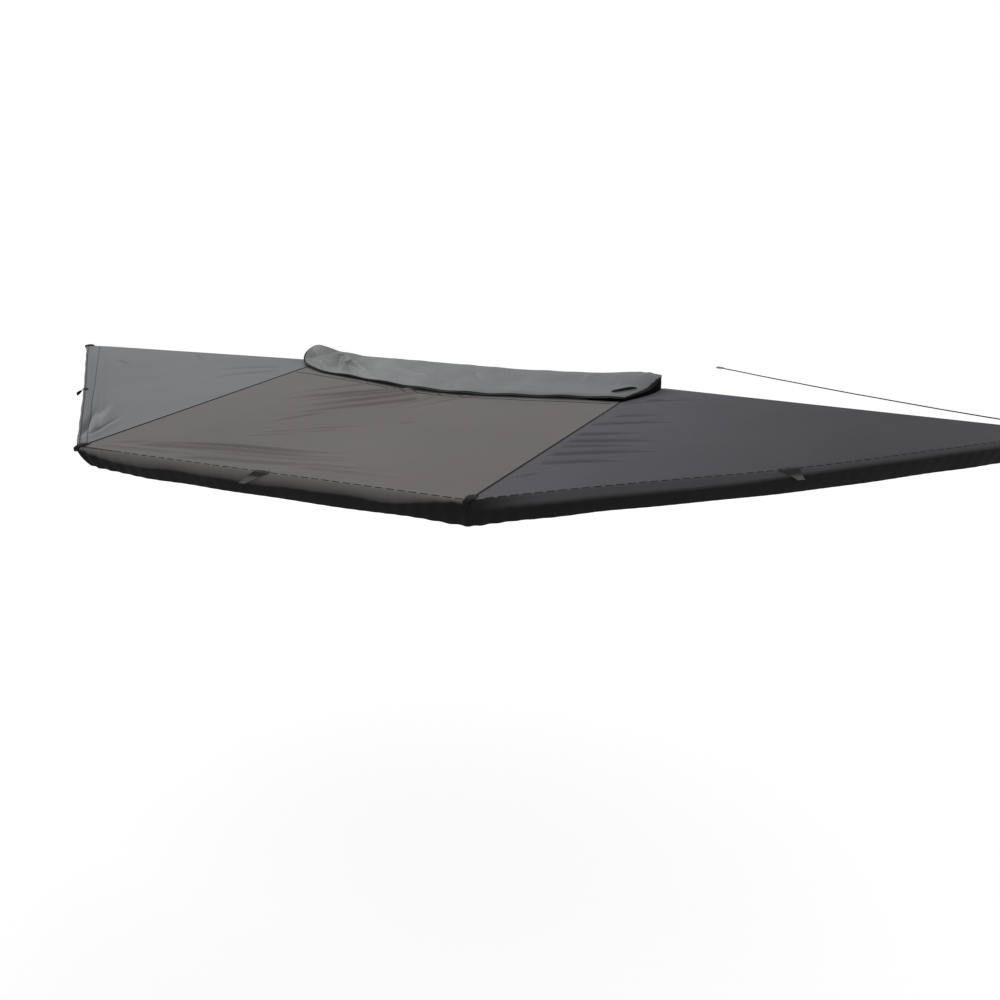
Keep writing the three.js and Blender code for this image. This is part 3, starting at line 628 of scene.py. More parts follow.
def make_cover_cloth():
    colour = grey(124, 127, 128)
    shader = Shader("cover_cloth", colour, 0.5, Specular_IOR_Level=0.3)
    uv = shader.coordinates("UV")
    wide = shader.noise(uv, 3.2, 5.0)
    dust = shader.noise(uv, 70.0, 4.0)
    blotches = shader.plus(shader.level(wide, 0, 0.75), shader.spread(dust, 0.4, 0.7, 0, 0.25))
    tone = shader.tint(blotches, colour, 0.86, 1.12)
    # The flap is mixed towards black by this level: its black facing past the facing's line, and painted
    # shade before that line and along its free edge.
    facing_and_shade = shader.attribute("facing_and_shade")
    # The flap's front end is painted darker, a painted shade.
    shaded = shader.mix(shader.spread(shader.axes(uv)[0], -0.55, -0.85), tone, scaled(colour, 0.66))
    shader.colour(shader.mix(facing_and_shade, shaded, scaled(BLACK_CLOTH, 0.4)))
    bent = shader.node("ShaderNodeTexNoise", {"Vector": uv, "Scale": 9.0}).outputs[1]
    moved = shader.node("ShaderNodeVectorMath", {0: uv, 1: bent}, operation="ADD").outputs[0]
    cells = {"Vector": moved, "Scale": 5.5}
    creases = shader.node("ShaderNodeTexVoronoi", cells, feature="DISTANCE_TO_EDGE").outputs[0]
    height = shader.times(shader.spread(creases, 0.0, 0.12), 0.0016)
    weave = shader.noise(shader.coordinates("UV", (900, 900, 900)), 1.0, 1.0)
    shader.bump(shader.plus(height, shader.times(weave, 0.00008)), 0.45)
    dull = shader.times(facing_and_shade, 0.95)
    shader.roughness(shader.math("MAXIMUM", shader.level(dust, 0.42, 0.6), dull))
    return shader.material


# Ribbed webbing, which may turn to another colour a few centimetres along. On the grey ties the first
# colour is a painted shade at their root, and the webbing's own grey comes after.
def make_webbing(name, colour, end_colour=None):
    shader = Shader(name, colour, 0.8, Sheen_Weight=0.05, Specular_IOR_Level=0.2)
    across, along = shader.axes(shader.coordinates("UV"))[:2]
    ribs = shader.wave(along, WEBBING_RIB_STEP)
    rows = shader.wave(across, WEBBING_ROW_STEP)
    height = shader.times(shader.plus(ribs, shader.times(rows, 0.8)), 0.00012)
    shader.bump(height, 0.8)
    tone = shader.tint(shader.spread(ribs, -1, 1), colour, 0.7, 1.35)
    if end_colour:
        tone = shader.mix(shader.spread(along, 0.045, 0.070), tone, end_colour)
    shader.colour(tone)
    return shader.material


# Metal and paint are worn to another colour at their edges.
def wear_edges(shader, low, high, share, tone, wear):
    edges = shader.spread(shader.node("ShaderNodeNewGeometry").outputs["Pointiness"], low, high)
    shader.colour(shader.mix(shader.times(edges, share), tone, wear))


def make_alloy(name, colour, wear):
    shader = Shader(name, colour, 0.36, 0.75, Specular_IOR_Level=0.5)
    drawn = shader.noise(shader.coordinates("Object", (6, 220, 220)), 1.0, 3.0)
    cloudy = shader.noise(shader.coordinates("Object"), 7.0, 4.0)
    wear_edges(shader, 0.52, 0.60, 0.4, shader.tint(shader.level(cloudy), colour, 0.88, 1.12), wear)
    shader.roughness(shader.spread(drawn, 0.25, 0.75, 0.28, 0.46))
    shader.bump(shader.times(drawn, 0.00003), 0.5)
    return shader.material


def make_powder_coat():
    colour = grey(34, 35, 37)
    shader = Shader("powder_coat", colour, 0.48, Specular_IOR_Level=0.5)
    where = shader.coordinates("Object")
    peel = shader.noise(where, 520.0, 2.0)
    cloudy = shader.noise(where, 12.0, 4.0)
    tone = shader.tint(shader.level(cloudy), colour, 0.85, 1.2)
    wear_edges(shader, 0.54, 0.62, 0.5, tone, grey(92, 93, 95))
    shader.roughness(shader.level(cloudy, 0.42, 0.56))
    shader.bump(shader.times(peel, 0.00006), 0.7)
    return shader.material


def make_zinc():
    colour = grey(170, 172, 174)
    shader = Shader("zinc_steel", colour, 0.34, 1.0)
    where = shader.coordinates("Object")
    spangle = shader.node("ShaderNodeTexVoronoi", {"Vector": where, "Scale": 90.0}).outputs["Color"]
    shade = shader.spread(spangle, 0.0, 1.0)
    shader.colour(shader.mix(shade, scaled(colour, 0.82), colour))
    shader.roughness(shader.level(shader.noise(where, 30.0), 0.26, 0.46))
    return shader.material


def make_plastic(name, colour, roughness=0.55):
    shader = Shader(name, colour, roughness, Specular_IOR_Level=0.45)
    where = shader.coordinates("Object")
    grain = shader.noise(where, 1500.0, 1.0)
    cloudy = shader.noise(where, 15.0, 3.0)
    shader.colour(shader.tint(shader.level(cloudy), colour, 0.85, 1.2))
    shader.roughness(shader.level(cloudy, roughness - 0.06, roughness + 0.08))
    shader.bump(shader.times(grain, 0.00005), 0.6)
    return shader.material


def make_rope_cover():
    colour = grey(40, 40, 43)
    shader = Shader("braided_rope", colour, 0.75, Sheen_Weight=0.2)
    around, along = shader.axes(shader.coordinates("UV"))[:2]
    turned = shader.times(around, 2 * math.pi * ROPE_STRANDS)
    run = shader.times(along, 2 * math.pi / ROPE_LAY)
    one = shader.math("SINE", shader.plus(turned, run))
    two = shader.math("SINE", shader.math("SUBTRACT", turned, run))
    braid = shader.math("MAXIMUM", one, two)
    shader.colour(shader.tint(shader.spread(braid, -0.2, 1.0), colour, 0.55, 1.5))
    shader.bump(shader.times(braid, 0.0004), 0.7)
    return shader.material


def make_thread(name, colour):
    shader = Shader(name, colour, 0.7)
    twist = shader.noise(shader.coordinates("Object", (900, 900, 900)), 1.0, 1.0)
    shader.colour(shader.tint(twist, colour, 0.7, 1.3))
    return shader.material


# The three canopy panels are one cloth. Their greys differ as painted light and shade: the front panel is
# painted lighter and the rear panel darker.
FRONT_GREY = grey(126, 127, 129)
CENTRE_GREY = grey(117, 112, 112)
REAR_GREY = grey(93, 91, 97)
BLACK_CLOTH = grey(17, 15, 14)
front_cloth = make_front_cloth()
centre_cloth = cloth_shader("centre_canopy_cloth", CENTRE_GREY).material
rear_cloth = make_rear_cloth()
front_valance_cloth = make_valance_cloth("front_valance_cloth", BLACK_CLOTH, FRONT_GREY)
centre_valance_cloth = make_valance_cloth("centre_valance_cloth", BLACK_CLOTH, CENTRE_GREY)
rear_valance_cloth = make_valance_cloth("rear_valance_cloth", BLACK_CLOTH, grey(82, 80, 83))
cover_cloth = make_cover_cloth()
black_webbing = make_webbing("black_webbing", grey(12, 12, 13))
# The grey ties are drawn dark for their first few centimetres, a painted shade, and in their own lighter
# grey beyond.
grey_webbing = make_webbing("grey_webbing", grey(46, 44, 44), grey(98, 95, 94))
piping = make_webbing("piping", grey(24, 22, 23))
seam_thread = make_thread("seam_thread", grey(12, 11, 11))
rail_alloy = make_alloy("rail_alloy", grey(58, 60, 63), grey(150, 152, 155))
arm_alloy = make_alloy("arm_alloy", grey(64, 66, 69), grey(150, 152, 155))
leg_alloy = make_alloy("leg_alloy", grey(120, 122, 125), grey(180, 182, 184))
powder_coat = make_powder_coat()
zinc_steel = make_zinc()
moulded_plastic = make_plastic("moulded_plastic", grey(31, 31, 33))
buckle_plastic = make_plastic("buckle_plastic", grey(15, 15, 16))
foot_rubber = make_plastic("foot_rubber", grey(26, 26, 27), 0.85)
rope_cover = make_rope_cover()
black_lining_and_shade = make_lining()


def finish_model_nodes():
    finishes = (
        (("rail",), rail_alloy),
        (("_side_tube", "_end_tube"), arm_alloy),
        (("_leg_outer_tube",), leg_alloy),
        (("_leg_inner_tube", "rack_bolt", "hub_bolt", "side_pivot", "_end_pin", "stay_hook"), zinc_steel),
        (("_tip_cap", "_leg_head", "_leg_clip", "rail_end_cap"), moulded_plastic),
        (("_leg_foot",), foot_rubber),
        (("rack_bracket", "hub_bracket", "_knuckle", "_leg_bracket"), powder_coat),
    )
    for name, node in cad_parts.items():
        for words, material in finishes:
            if any(name == word or word in name and word != "rail" for word in words):
                for held in node.material_slots:
                    held.link = "OBJECT"
                    held.material = material


finish_model_nodes()


# Folds: a line in plan, how high its ridge is, how wide, and how far along it the ridge fades in and out.
# A fold has a shallow valley on both sides of its ridge, and a crisp one only its ridge. A fold of less
# than no height is a valley.

def fold_height(x, y, folds, crisp=False):
    total = np.zeros_like(x)
    for x0, y0, x1, y1, height, width, fade_in, fade_out in folds:
        run = math.hypot(x1 - x0, y1 - y0)
        ux, uy = (x1 - x0) / run, (y1 - y0) / run
        share = ((x - x0) * ux + (y - y0) * uy) / run
        away = (-(x - x0) * uy + (y - y0) * ux) / width
        fade = smooth_step(share / fade_in) * smooth_step((1 - share) / fade_out)
        ridge = np.exp(-np.abs(away) ** 1.2) if crisp else (1 - away * away) * np.exp(-away * away / 1.4)
        total += height * fade * ridge
    return total


# A slow, smooth unevenness that is the same on every run
def unevenness(x, y, height, scale, phase=0.0):
    waves = (
        (1.0, 0.35, 0.3), (-0.55, 1.15, 1.7), (0.9, -1.35, 4.1),
        (1.75, 0.95, 2.6), (-1.6, 1.9, 5.3), (2.6, -0.4, 0.9),
    )
    total = np.zeros_like(x)
    for fx, fy, turn in waves:
        total += np.sin(2 * math.pi * (fx * x + fy * y) / scale + turn + phase) / (1 + abs(fx) + abs(fy))
    return height * total


FRONT_CORNER_FOLDS = (
    (-0.960, -1.945, -1.43, -1.35, 0.0080, 0.027, 0.06, 0.5),
    (-0.965, -1.910, -1.10, -1.60, 0.0080, 0.016, 0.12, 0.5),
    (-1.010, -1.910, -1.43, -1.46, -0.0080, 0.027, 0.10, 0.5),
    (-0.980, -1.900, -1.17, -1.54, -0.0080, 0.018, 0.12, 0.5),
)
FRONT_FOLDS = FRONT_CORNER_FOLDS + (
    (-2.70, -0.34, -1.00, -1.86, 0.0104, 0.026, 0.2, 0.1),
    (-1.93, -1.02, -0.99, -1.86, 0.0078, 0.020, 0.4, 0.1),
    (-2.35, -0.49, -2.07, -0.62, 0.0078, 0.018, 0.4, 0.4),
    (-2.01, -0.16, -1.69, -0.38, 0.0078, 0.018, 0.4, 0.4),
    (-1.05, -0.42, -1.50, -0.75, 0.0059, 0.024, 0.2, 0.6),
    (-1.10, -0.33, -1.66, -0.52, 0.0052, 0.024, 0.2, 0.6),
)
CENTRE_FOLDS = (
    (-0.10, -0.42, -0.60, -1.06, 0.0100, 0.017, 0.1, 0.6),
    (-0.09, -0.52, -0.55, -1.17, 0.0112, 0.018, 0.1, 0.6),
    (-0.02, -0.62, -0.50, -1.25, 0.0106, 0.018, 0.1, 0.6),
    (-0.22, -0.52, -0.70, -1.06, 0.0100, 0.016, 0.1, 0.6),
    (-0.42, -0.50, -0.72, -0.96, 0.0069, 0.014, 0.1, 0.7),
    (0.06, -0.50, -0.16, -1.00, 0.0063, 0.015, 0.1, 0.7),
    (0.20, -0.50, -0.06, -0.92, 0.0056, 0.015, 0.1, 0.7),
    (-0.01, -1.18, -0.44, -1.59, 0.0050, 0.020, 0.3, 0.5),
    (-0.30, -1.05, -0.46, -1.42, 0.0056, 0.016, 0.3, 0.5),
    (-0.01, -1.25, -0.32, -1.50, 0.0037, 0.016, 0.4, 0.5),
    (-0.19, -1.43, -0.42, -1.62, 0.0037, 0.018, 0.4, 0.5),
    (0.17, -1.04, 0.08, -1.13, 0.0044, 0.014, 0.4, 0.5),
    (-0.86, -1.90, 0.10, -1.61, 0.0060, 0.016, 0.15, 0.4),
    (-0.55, -1.83, 0.30, -1.60, -0.0070, 0.018, 0.20, 0.5),
    (-0.74, -1.89, 0.36, -1.65, 0.0100, 0.018, 0.15, 0.5),
    (-0.42, -1.88, 0.42, -1.70, -0.0060, 0.018, 0.20, 0.5),
    (-0.48, -1.97, 0.46, -1.75, 0.0085, 0.018, 0.20, 0.5),
    (-0.86, -1.96, -0.30, -1.89, 0.0045, 0.018, 0.15, 0.5),
    (0.01, -1.87, 0.62, -1.82, 0.0050, 0.019, 0.30, 0.5),
)
REAR_FOLDS = (
    (0.92, -0.90, 1.36, -0.62, 0.0072, 0.013, 0.1, 0.6),
    (0.93, -1.07, 1.24, -0.88, 0.0077, 0.013, 0.1, 0.6),
    (0.93, -1.17, 1.36, -0.95, 0.0082, 0.013, 0.1, 0.6),
    (0.93, -1.25, 1.30, -1.06, 0.0058, 0.012, 0.1, 0.6),
    (0.93, -1.37, 1.40, -1.08, 0.0082, 0.013, 0.1, 0.6),
    (0.94, -1.48, 1.30, -1.27, 0.0072, 0.013, 0.1, 0.6),
    (1.00, -0.71, 1.26, -0.54, 0.0053, 0.012, 0.2, 0.6),
    (0.97, -0.50, 1.26, -0.19, 0.0053, 0.013, 0.2, 0.6),
    (1.02, -0.40, 1.40, -0.16, 0.0043, 0.013, 0.2, 0.6),
    (0.91, -1.68, 1.02, -1.54, 0.0048, 0.011, 0.2, 0.6),
    (1.50, -1.45, 1.42, -1.55, 0.0058, 0.012, 0.4, 0.2),
    (1.56, -1.42, 1.47, -1.50, 0.0048, 0.011, 0.4, 0.2),
)


# Canopy

def sag_shape(s):
    return np.sin(math.pi * s) ** SAG_POWER


def broadcast(s, t):
    return np.broadcast_arrays(np.asarray(s, float), np.asarray(t, float))


# How free cloth is to fold: not at its sewn sides, which are as wide as the given share, nor at its edge
def freedom(s, t, sides):
    return smooth_step(s / sides) * smooth_step((1 - s) / sides) * smooth_step((1 - t) / 0.02)


def end_panel(end, s, t, folds=()):
    s, t = broadcast(s, t)
    along = CANOPY_START + t * (ARM_LENGTH - CANOPY_START)
    cover = end.side * CANOPY_EDGE_COVER * np.minimum(1, 10 * (1 - t))
    outer = end.end_arm.at(along, cover)
    inner = end.side_arm.at(along, end.side * SEAM_GAP)
    p = outer + (inner - outer) * s[..., None]
    p[..., 2] -= END_SAGS[end.name] * sag_shape(s) * np.sin(math.pi * t) ** 2
    p[..., 2] -= END_EDGE_SAG * sag_shape(s) * t ** SAG_POWER
    if folds:
        x, y, free = p[..., 0], p[..., 1], freedom(s, t, 0.05)
        p[..., 2] += fold_height(x, y, folds) * free
        p[..., 2] += unevenness(x, y, *END_UNEVENNESS, end.side) * free * smooth_step(s / 0.15)
    return p


def centre_side(end, t):
    rail = np.array((end.hub[0] - end.side * CANOPY_HUB_GAP, -RAIL_DEPTH - CANOPY_RAIL_GAP, CLOTH_MIDDLE))
    start = end.side_arm.at(CANOPY_START, -end.side * SEAM_GAP)
    near = rail + (start - rail) * (t / CANOPY_HUB_SHARE)[..., None]
    share = np.maximum(0, t - CANOPY_HUB_SHARE) / (1 - CANOPY_HUB_SHARE)
    far = end.side_arm.at(CANOPY_START + share * (ARM_LENGTH - CANOPY_START), -end.side * SEAM_GAP)
    return np.where((t < CANOPY_HUB_SHARE)[..., None], near, far)


def centre_panel(s, t, folds=()):
    s, t = broadcast(s, t)
    front = centre_side(FRONT, t)
    rear = centre_side(REAR, t)
    p = front + (rear - front) * s[..., None]
    p[..., 2] -= CENTRE_SAG * sag_shape(s) * np.sin(math.pi * t)
    if folds:
        x, y, free = p[..., 0], p[..., 1], freedom(s, t, 0.04)
        p[..., 2] += fold_height(x, y, folds) * free
        p[..., 2] += unevenness(x, y, *CENTRE_UNEVENNESS) * free
    return p


# The weight with which a point turns with the second body: its angle about a pivot as a share of the span
def fan_weights(points, pivot, start, span):
    angle = np.degrees(np.arctan2(points[:, 1] - pivot[1], points[:, 0] - pivot[0]))
    turned = (angle - start + 180) % 360 - 180
    return np.clip(turned / span, 0, 1)


def points_of(piece):
    flat = np.zeros(len(piece.data.vertices) * 3)
    piece.data.vertices.foreach_get("co", flat)
    return flat.reshape(-1, 3)


SIDE_TURN = 90 - SIDE_ARM_LEAN
END_TURN = 180 - END_ARM_LEAN - SIDE_TURN


# Cloth and seams of an end panel are baked in place. The weights for fanning them out between that end's
# two arms are worked out but not kept.
def fan_end(piece, end):
    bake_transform(piece)
    start = -SIDE_TURN if end is FRONT else -(180 - SIDE_TURN)
    span = -END_TURN if end is FRONT else END_TURN
    fan_weights(points_of(piece), end.pin, start, span)
    return piece


# The half of the centre panel at the front hub is baked in place. The weights for fanning it out between
# the rail and the front side arm are worked out but not kept.
def fan_centre(piece):
    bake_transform(piece)
    fan_weights(points_of(piece), FRONT.hub, 0, -SIDE_TURN)
    return piece


# The half at the outer edge is attached to the base body and given a mesh of its own.
def gather_centre(piece):
    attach(piece, "base")
    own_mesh(piece)
    return piece


def make_end_panel(end, material, folds):
    across, reach = END_PANEL_STEPS
    s = np.linspace(0, 1, across + 1)[None, :]
    t = np.linspace(0, 1, reach + 1)[:, None]
    points = end_panel(end, s, t, folds)
    if end is REAR:
        points = points[:, ::-1]
    plain = end_panel(end, s, t)
    name = f"canopy_{end.name}_cloth"
    piece = add_grid(name, points, points[..., :2], material)
    # The front corner's folds get a level of painted light: a painted highlight on their ridges and painted
    # shade in their valleys.
    if end is FRONT:
        fold_shade_share = fold_height(points[..., 0], points[..., 1], FRONT_CORNER_FOLDS) / 0.008
        add_level(piece, "fold_shade", 0.5 + 0.5 * np.clip(fold_shade_share, -1, 1))
    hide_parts(f"canopy_{end.name}")
    return fan_end(piece, end)


# The faces of a square grid, parted along its diagonal into a near and a far half
def diagonal_halves(count):
    near, far = [], []
    columns = count + 1
    for j in range(count):
        for i in range(count):
            a = j * columns + i
            quad = (a, a + columns, a + columns + 1, a + 1)
            if i + j + 1 < count:
                near.append(quad)
            elif i + j + 1 > count:
                far.append(quad)
            else:
                near.append(quad[:2] + quad[3:])
                far.append(quad[1:])
    return near, far


# The centre panel is two pieces, parted along its diagonal. Both have the whole panel's normals, so that no
# line shows between them.
def make_centre_panel():
    share = np.linspace(0, 1, CENTRE_PANEL_STEPS + 1)
    points = centre_panel(share[None, :], share[:, None], CENTRE_FOLDS)
    plain = centre_panel(share[None, :], share[:, None])
    normals = np.cross(np.gradient(points, axis=1), np.gradient(points, axis=0))
    normals = unit(normals * np.sign(normals[..., 2:3]))
    near, far = diagonal_halves(CENTRE_PANEL_STEPS)
    halves = []
    for name, faces in (("canopy_centre_inner_cloth", near), ("canopy_centre_outer_cloth", far)):
        used = sorted({k for face in faces for k in face})
        order = {old: new for new, old in enumerate(used)}
        kept = points.reshape(-1, 3)[used]
        faces = [[order[k] for k in face] for face in faces]
        piece = add_mesh(name, kept, faces, centre_cloth, kept[:, :2])
        piece.data.normals_split_custom_set_from_vertices(normals.reshape(-1, 3)[used].tolist())
        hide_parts("canopy_centre")
        halves.append(piece)
    inner, outer = halves
    fan_centre(inner)
    gather_centre(outer)


# Valance: it rolls over the canopy's outer edge and hangs

def valance_section(share):
    distance = share * VALANCE_RUN
    angle = np.minimum(distance, VALANCE_ARC) / VALANCE_OUT
    out = VALANCE_OUT * np.sin(angle)
    down = VALANCE_OUT * (1 - np.cos(angle)) + np.maximum(0, distance - VALANCE_ARC)
    return out, down


def outward_of(start, stop):
    along = unit((stop - start) * np.array((1, 1, 0)))
    return np.array((along[1], -along[0], 0.0))


def mitre(one, two):
    return (one + two) / (1 + one @ two)


def square_to(arm, out):
    along = unit(arm.along * np.array((1, 1, 0)))
    return along / (along @ out)


OUT_FRONT = outward_of(TIP_A, TIP_B)
OUT_CENTRE = outward_of(TIP_B, TIP_C)
OUT_REAR = outward_of(TIP_C, TIP_D)
AT_FRONT_TIP = square_to(FRONT.end_arm, OUT_FRONT)
AT_FRONT = mitre(OUT_FRONT, OUT_CENTRE)
AT_REAR = mitre(OUT_CENTRE, OUT_REAR)
AT_REAR_TIP = square_to(REAR.end_arm, OUT_REAR)
VALANCES = {
    "front": (TIP_A, TIP_B, AT_FRONT_TIP, AT_FRONT, END_WAVES, 0, VALANCE_INSET, END_EDGE_SAG),
    "centre": (TIP_B, TIP_C, AT_FRONT, AT_REAR, CENTRE_WAVES, VALANCE_INSET, 0, 0),
    "rear": (TIP_C, TIP_D, AT_REAR, AT_REAR_TIP, END_WAVES, 0, VALANCE_INSET, END_EDGE_SAG),
}


# Small puckers that run down the valance, higher near its corners
def pucker(s, down, length):
    start = s * length
    stop = (1 - s) * length
    near = np.exp(-start / PUCKER_REACH) + np.exp(-stop / PUCKER_REACH)
    slant = start + 0.25 * down * (np.exp(-start / 0.3) - np.exp(-stop / 0.3))
    fine = np.sin(2 * math.pi * slant / PUCKER_STEP + 1.3 * np.sin(slant * 9))
    broad = np.sin(2 * math.pi * slant / PUCKER_BROAD_STEP + 2.1 * np.sin(slant * 2.3))
    height = PUCKER_HEIGHT * near * fine + PUCKER_BROAD_HEIGHT * broad + PUCKER_FINE_HEIGHT * fine
    held = smooth_step(start / PUCKER_HELD) * smooth_step(stop / PUCKER_HELD)
    return height * smooth_step(down / PUCKER_HELD) * held


# The share by which the valance hangs less deep than elsewhere, mostly at the front corner
def shortening(name, s, length):
    if name == "centre":
        return 0.22 * np.exp(-s * length / 0.16) + 0.06 * np.exp(-((s - 0.88) / 0.08) ** 2)
    if name == "front":
        return 0.85 * np.exp(-(1 - s) * length / 0.15)
    return 0


def valance_point(name, s, t):
    start, stop, start_mitre, stop_mitre, waves, start_inset, stop_inset, edge_sag = VALANCES[name]
    s, t = broadcast(s, t)
    along = (stop - start) * np.array((1, 1, 0))
    length = float(np.linalg.norm(along))
    along = along / length
    roll, down = valance_section(t)
    hang = (down / VALANCE_DROP) ** 2
    wave = hang * VALANCE_WAVE * (1 + np.sin(2 * math.pi * waves * s))
    out = roll + SEAM_GAP - wave + pucker(s, down, length)
    a = start + out[..., None] * start_mitre + (CORNER_GAP + start_inset * hang)[..., None] * along
    b = stop + out[..., None] * stop_mitre - (CORNER_GAP + stop_inset * hang)[..., None] * along
    p = a + (b - a) * s[..., None]
    p[..., 2] -= down * (1 - shortening(name, s, length)) + edge_sag * sag_shape(s)
    return p, down, length


# How much painted highlight, in a panel's grey, shows on the valance's shoulder. It ends in a line at the
# front and in the centre, and fades slowly at the rear.
def shoulder_highlight_levels(name, shares, down, length):
    if name == "rear":
        reach = 0.023 - 0.018 * smooth_step((shares - 0.3) / 0.3)
        return 0.80 * (1 - smooth_step((down - reach) / 0.026)) * smooth_step((shares + 0.01) / 0.12)
    reach = 0.044 + 0.003 * np.sin(shares * length * 9) + 0.002 * np.sin(shares * length * 23)
    if name == "centre":
        reach = reach * smooth_step((shares + 0.04) / 0.16)
        reach = reach * (1 - 0.8 * smooth_step((shares - 0.82) / 0.16))
    lit = 0.85 - 0.62 * np.clip(down / reach, 0, 1) ** 1.3
    return lit * (1 - smooth_step((down - reach) / 0.005))


def make_valance(name, material):
    across, fall = VALANCE_STEPS
    s = np.linspace(0, 1, across + 1)[None, :]
    t = (np.linspace(0, 1, fall + 1) ** 1.25)[:, None]
    points, down, length = valance_point(name, s, t)
    shares = np.broadcast_to(s, down.shape)
    plan = np.stack((shares * length, -down), -1)
    piece = add_grid(f"valance_{name}_cloth", points, plan, material)
    # The level of the painted highlight on the valance's shoulder
    add_level(piece, "shoulder_highlight", shoulder_highlight_levels(name, shares, down, length))
    thicken(piece, VALANCE_THICKNESS)
    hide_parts(f"valance_{name}")
    return piece


# Seams: short black stitches in a row along a line, as one piece

def resample(line, step):
    line = np.asarray(line, float)
    run = lengths_along(line)
    marks = np.arange(0, run[-1], step)
    return np.stack([np.interp(marks, run, line[:, k]) for k in range(3)], 1)


def make_dashes(name, line, across, stitch, material):
    length, gap, width, height = stitch
    fine = resample(line, STITCH_STEP)
    direction = unit(np.gradient(fine, axis=0))
    across = unit(np.asarray(across, float))
    step = int(round((length + gap) / STITCH_STEP))
    solid = int(round(length / STITCH_STEP))
    taper = max(1, solid // 5)
    points, faces, uvs = [], [], []
    for first in range(2, len(fine) - solid - 2, step):
        faces += ring_faces(4, 5, len(points))
        marks = (first, first + taper, first + solid - taper, first + solid)
        for mark, share in zip(marks, (0.3, 1.0, 1.0, 0.3)):
            centre = fine[mark]
            up = np.cross(direction[mark], across)
            up *= np.sign(up[2])
            half = across * width / 2 * share
            rise = up * height * share
            points += [centre - half, centre - half * 0.6 + rise, centre + half * 0.6 + rise]
            points += [centre + half, centre - up * height * 0.4]
            uvs += [(k / 5, mark * STITCH_STEP) for k in range(5)]
    return add_mesh(name, points, faces, material, uvs)


def make_edge_seams():
    s = np.linspace(0.004, 0.996, 400)
    lift = raised(CLOTH_THICKNESS / 2 + 0.0002)
    for end in ENDS:
        line = end_panel(end, s, np.full_like(s, EDGE_SEAM_AT)) + lift
        out = OUT_FRONT if end is FRONT else OUT_REAR
        piece = make_dashes(f"edge_seam_{end.name}", line, out, EDGE_STITCH, seam_thread)
        fan_end(piece, end)
    line = centre_panel(s, np.full_like(s, EDGE_SEAM_AT)) + lift
    dashes = make_dashes("edge_seam_centre", line, OUT_CENTRE, EDGE_STITCH, seam_thread)
    near = np.linspace(0.002, START_SEAM_REACH, 60)
    start = centre_panel(near, np.full_like(near, START_SEAM_AT)) + lift
    narrow = 1 - 0.75 * smooth_step(np.linspace(0, 1, 60))
    solid = add_ribbon("edge_seam_start", start, OUT_CENTRE, 0.016, 0.0012, seam_thread, taper=narrow)
    piece = join_pieces("edge_seam_centre", [dashes, solid])
    gather_centre(piece)


# The seam of the front edge's hem, which is wide at the tip and narrow at the corner
def make_front_hem():
    s = np.linspace(0.0, 0.995, 300)
    t = 0.945 + 0.032 * s
    line = end_panel(FRONT, s, t, FRONT_FOLDS) + raised(0.0014)
    piece = make_dashes("front_hem_seam", line, OUT_FRONT, HEM_STITCH, seam_thread)
    fan_end(piece, FRONT)


# Piping on the two ridges, where the panels are sewn together over the side arms
def make_ridge_piping():
    for end in ENDS:
        along = np.linspace(CANOPY_START + 0.001, ARM_LENGTH - 0.004, 160)
        line = end.side_arm.at(along, 0.0, CLOTH_MIDDLE + 0.0014)
        half = 0.0019
        turn = np.linspace(math.pi, 0, 7)
        section = [(half * math.cos(a), 0.0018 * math.sin(a)) for a in turn]
        section = [(-0.0036, -0.0006), (-0.0036, -0.0001), (-0.0024, 0.0001)] + section
        section += [(0.0024, 0.0001), (0.0036, -0.0001), (0.0036, -0.0006)]
        across = np.broadcast_to(end.side_arm.side, line.shape)
        up = np.broadcast_to(end.side_arm.up, line.shape)
        piece = add_swept(f"ridge_piping_{end.name}", line, across, up, section, along, piping)
        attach(piece, f"{end.name}_side_arm")


# The height of the centre panel over places in plan
def on_centre(x, y):
    t = np.full_like(x, 0.3)
    marks = np.linspace(0, 1, 400)
    for _ in range(12):
        front, rear = centre_side(FRONT, t), centre_side(REAR, t)
        s = np.clip((x - front[:, 0]) / (rear[:, 0] - front[:, 0]), 0, 1)
        left, right = centre_side(FRONT, marks)[:, 1], centre_side(REAR, marks)[:, 1]
        t = np.array([np.interp(-b, -(left + (right - left) * a), marks) for a, b in zip(s, y)])
    return centre_panel(s, t, CENTRE_FOLDS)


# The seam across the centre panel where two widths of cloth meet, in two pieces as the panel is
def make_width_seam():
    corners = np.array((
        (-0.955, -0.466), (-0.49, -0.522), (-0.20, -0.556), (0.11, -0.570),
        (0.50, -0.556), (0.81, -0.512), (0.945, -0.482),
    ))
    fine = np.linspace(0, 1, 220)
    x = corners[0, 0] + (corners[-1, 0] - corners[0, 0]) * fine
    y = np.interp(x, corners[:, 0], corners[:, 1])
    line = on_centre(x, y) + raised(0.0008)
    inner = line[x <= WIDTH_SEAM_SPLIT]
    outer = line[x >= WIDTH_SEAM_SPLIT - 0.01]
    for name, part in (("width_seam_inner", inner), ("width_seam_outer", outer)):
        seam = add_ribbon(name, part, (0, 1, 0), 0.0040, 0.0012, piping)
        if name.endswith("inner"):
            fan_centre(seam)
        else:
            gather_centre(seam)


# A strip of cloth that holds the canopy's inner edge in the rail's front slot
def make_rail_band():
    section = (
        (-0.0505, 0.0176), (-0.0475, 0.0150), (-0.0452, 0.0100),
        (-0.0440, 0.0050), (-0.0418, 0.0012), (-0.0375, 0.0),
    )
    line = np.column_stack((np.zeros(len(section)), section))
    band = add_ribbon("canopy_rail_band", line, (1, 0, 0), CENTRE_WIDTH, 0.0014, black_lining_and_shade)
    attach(band, "base")


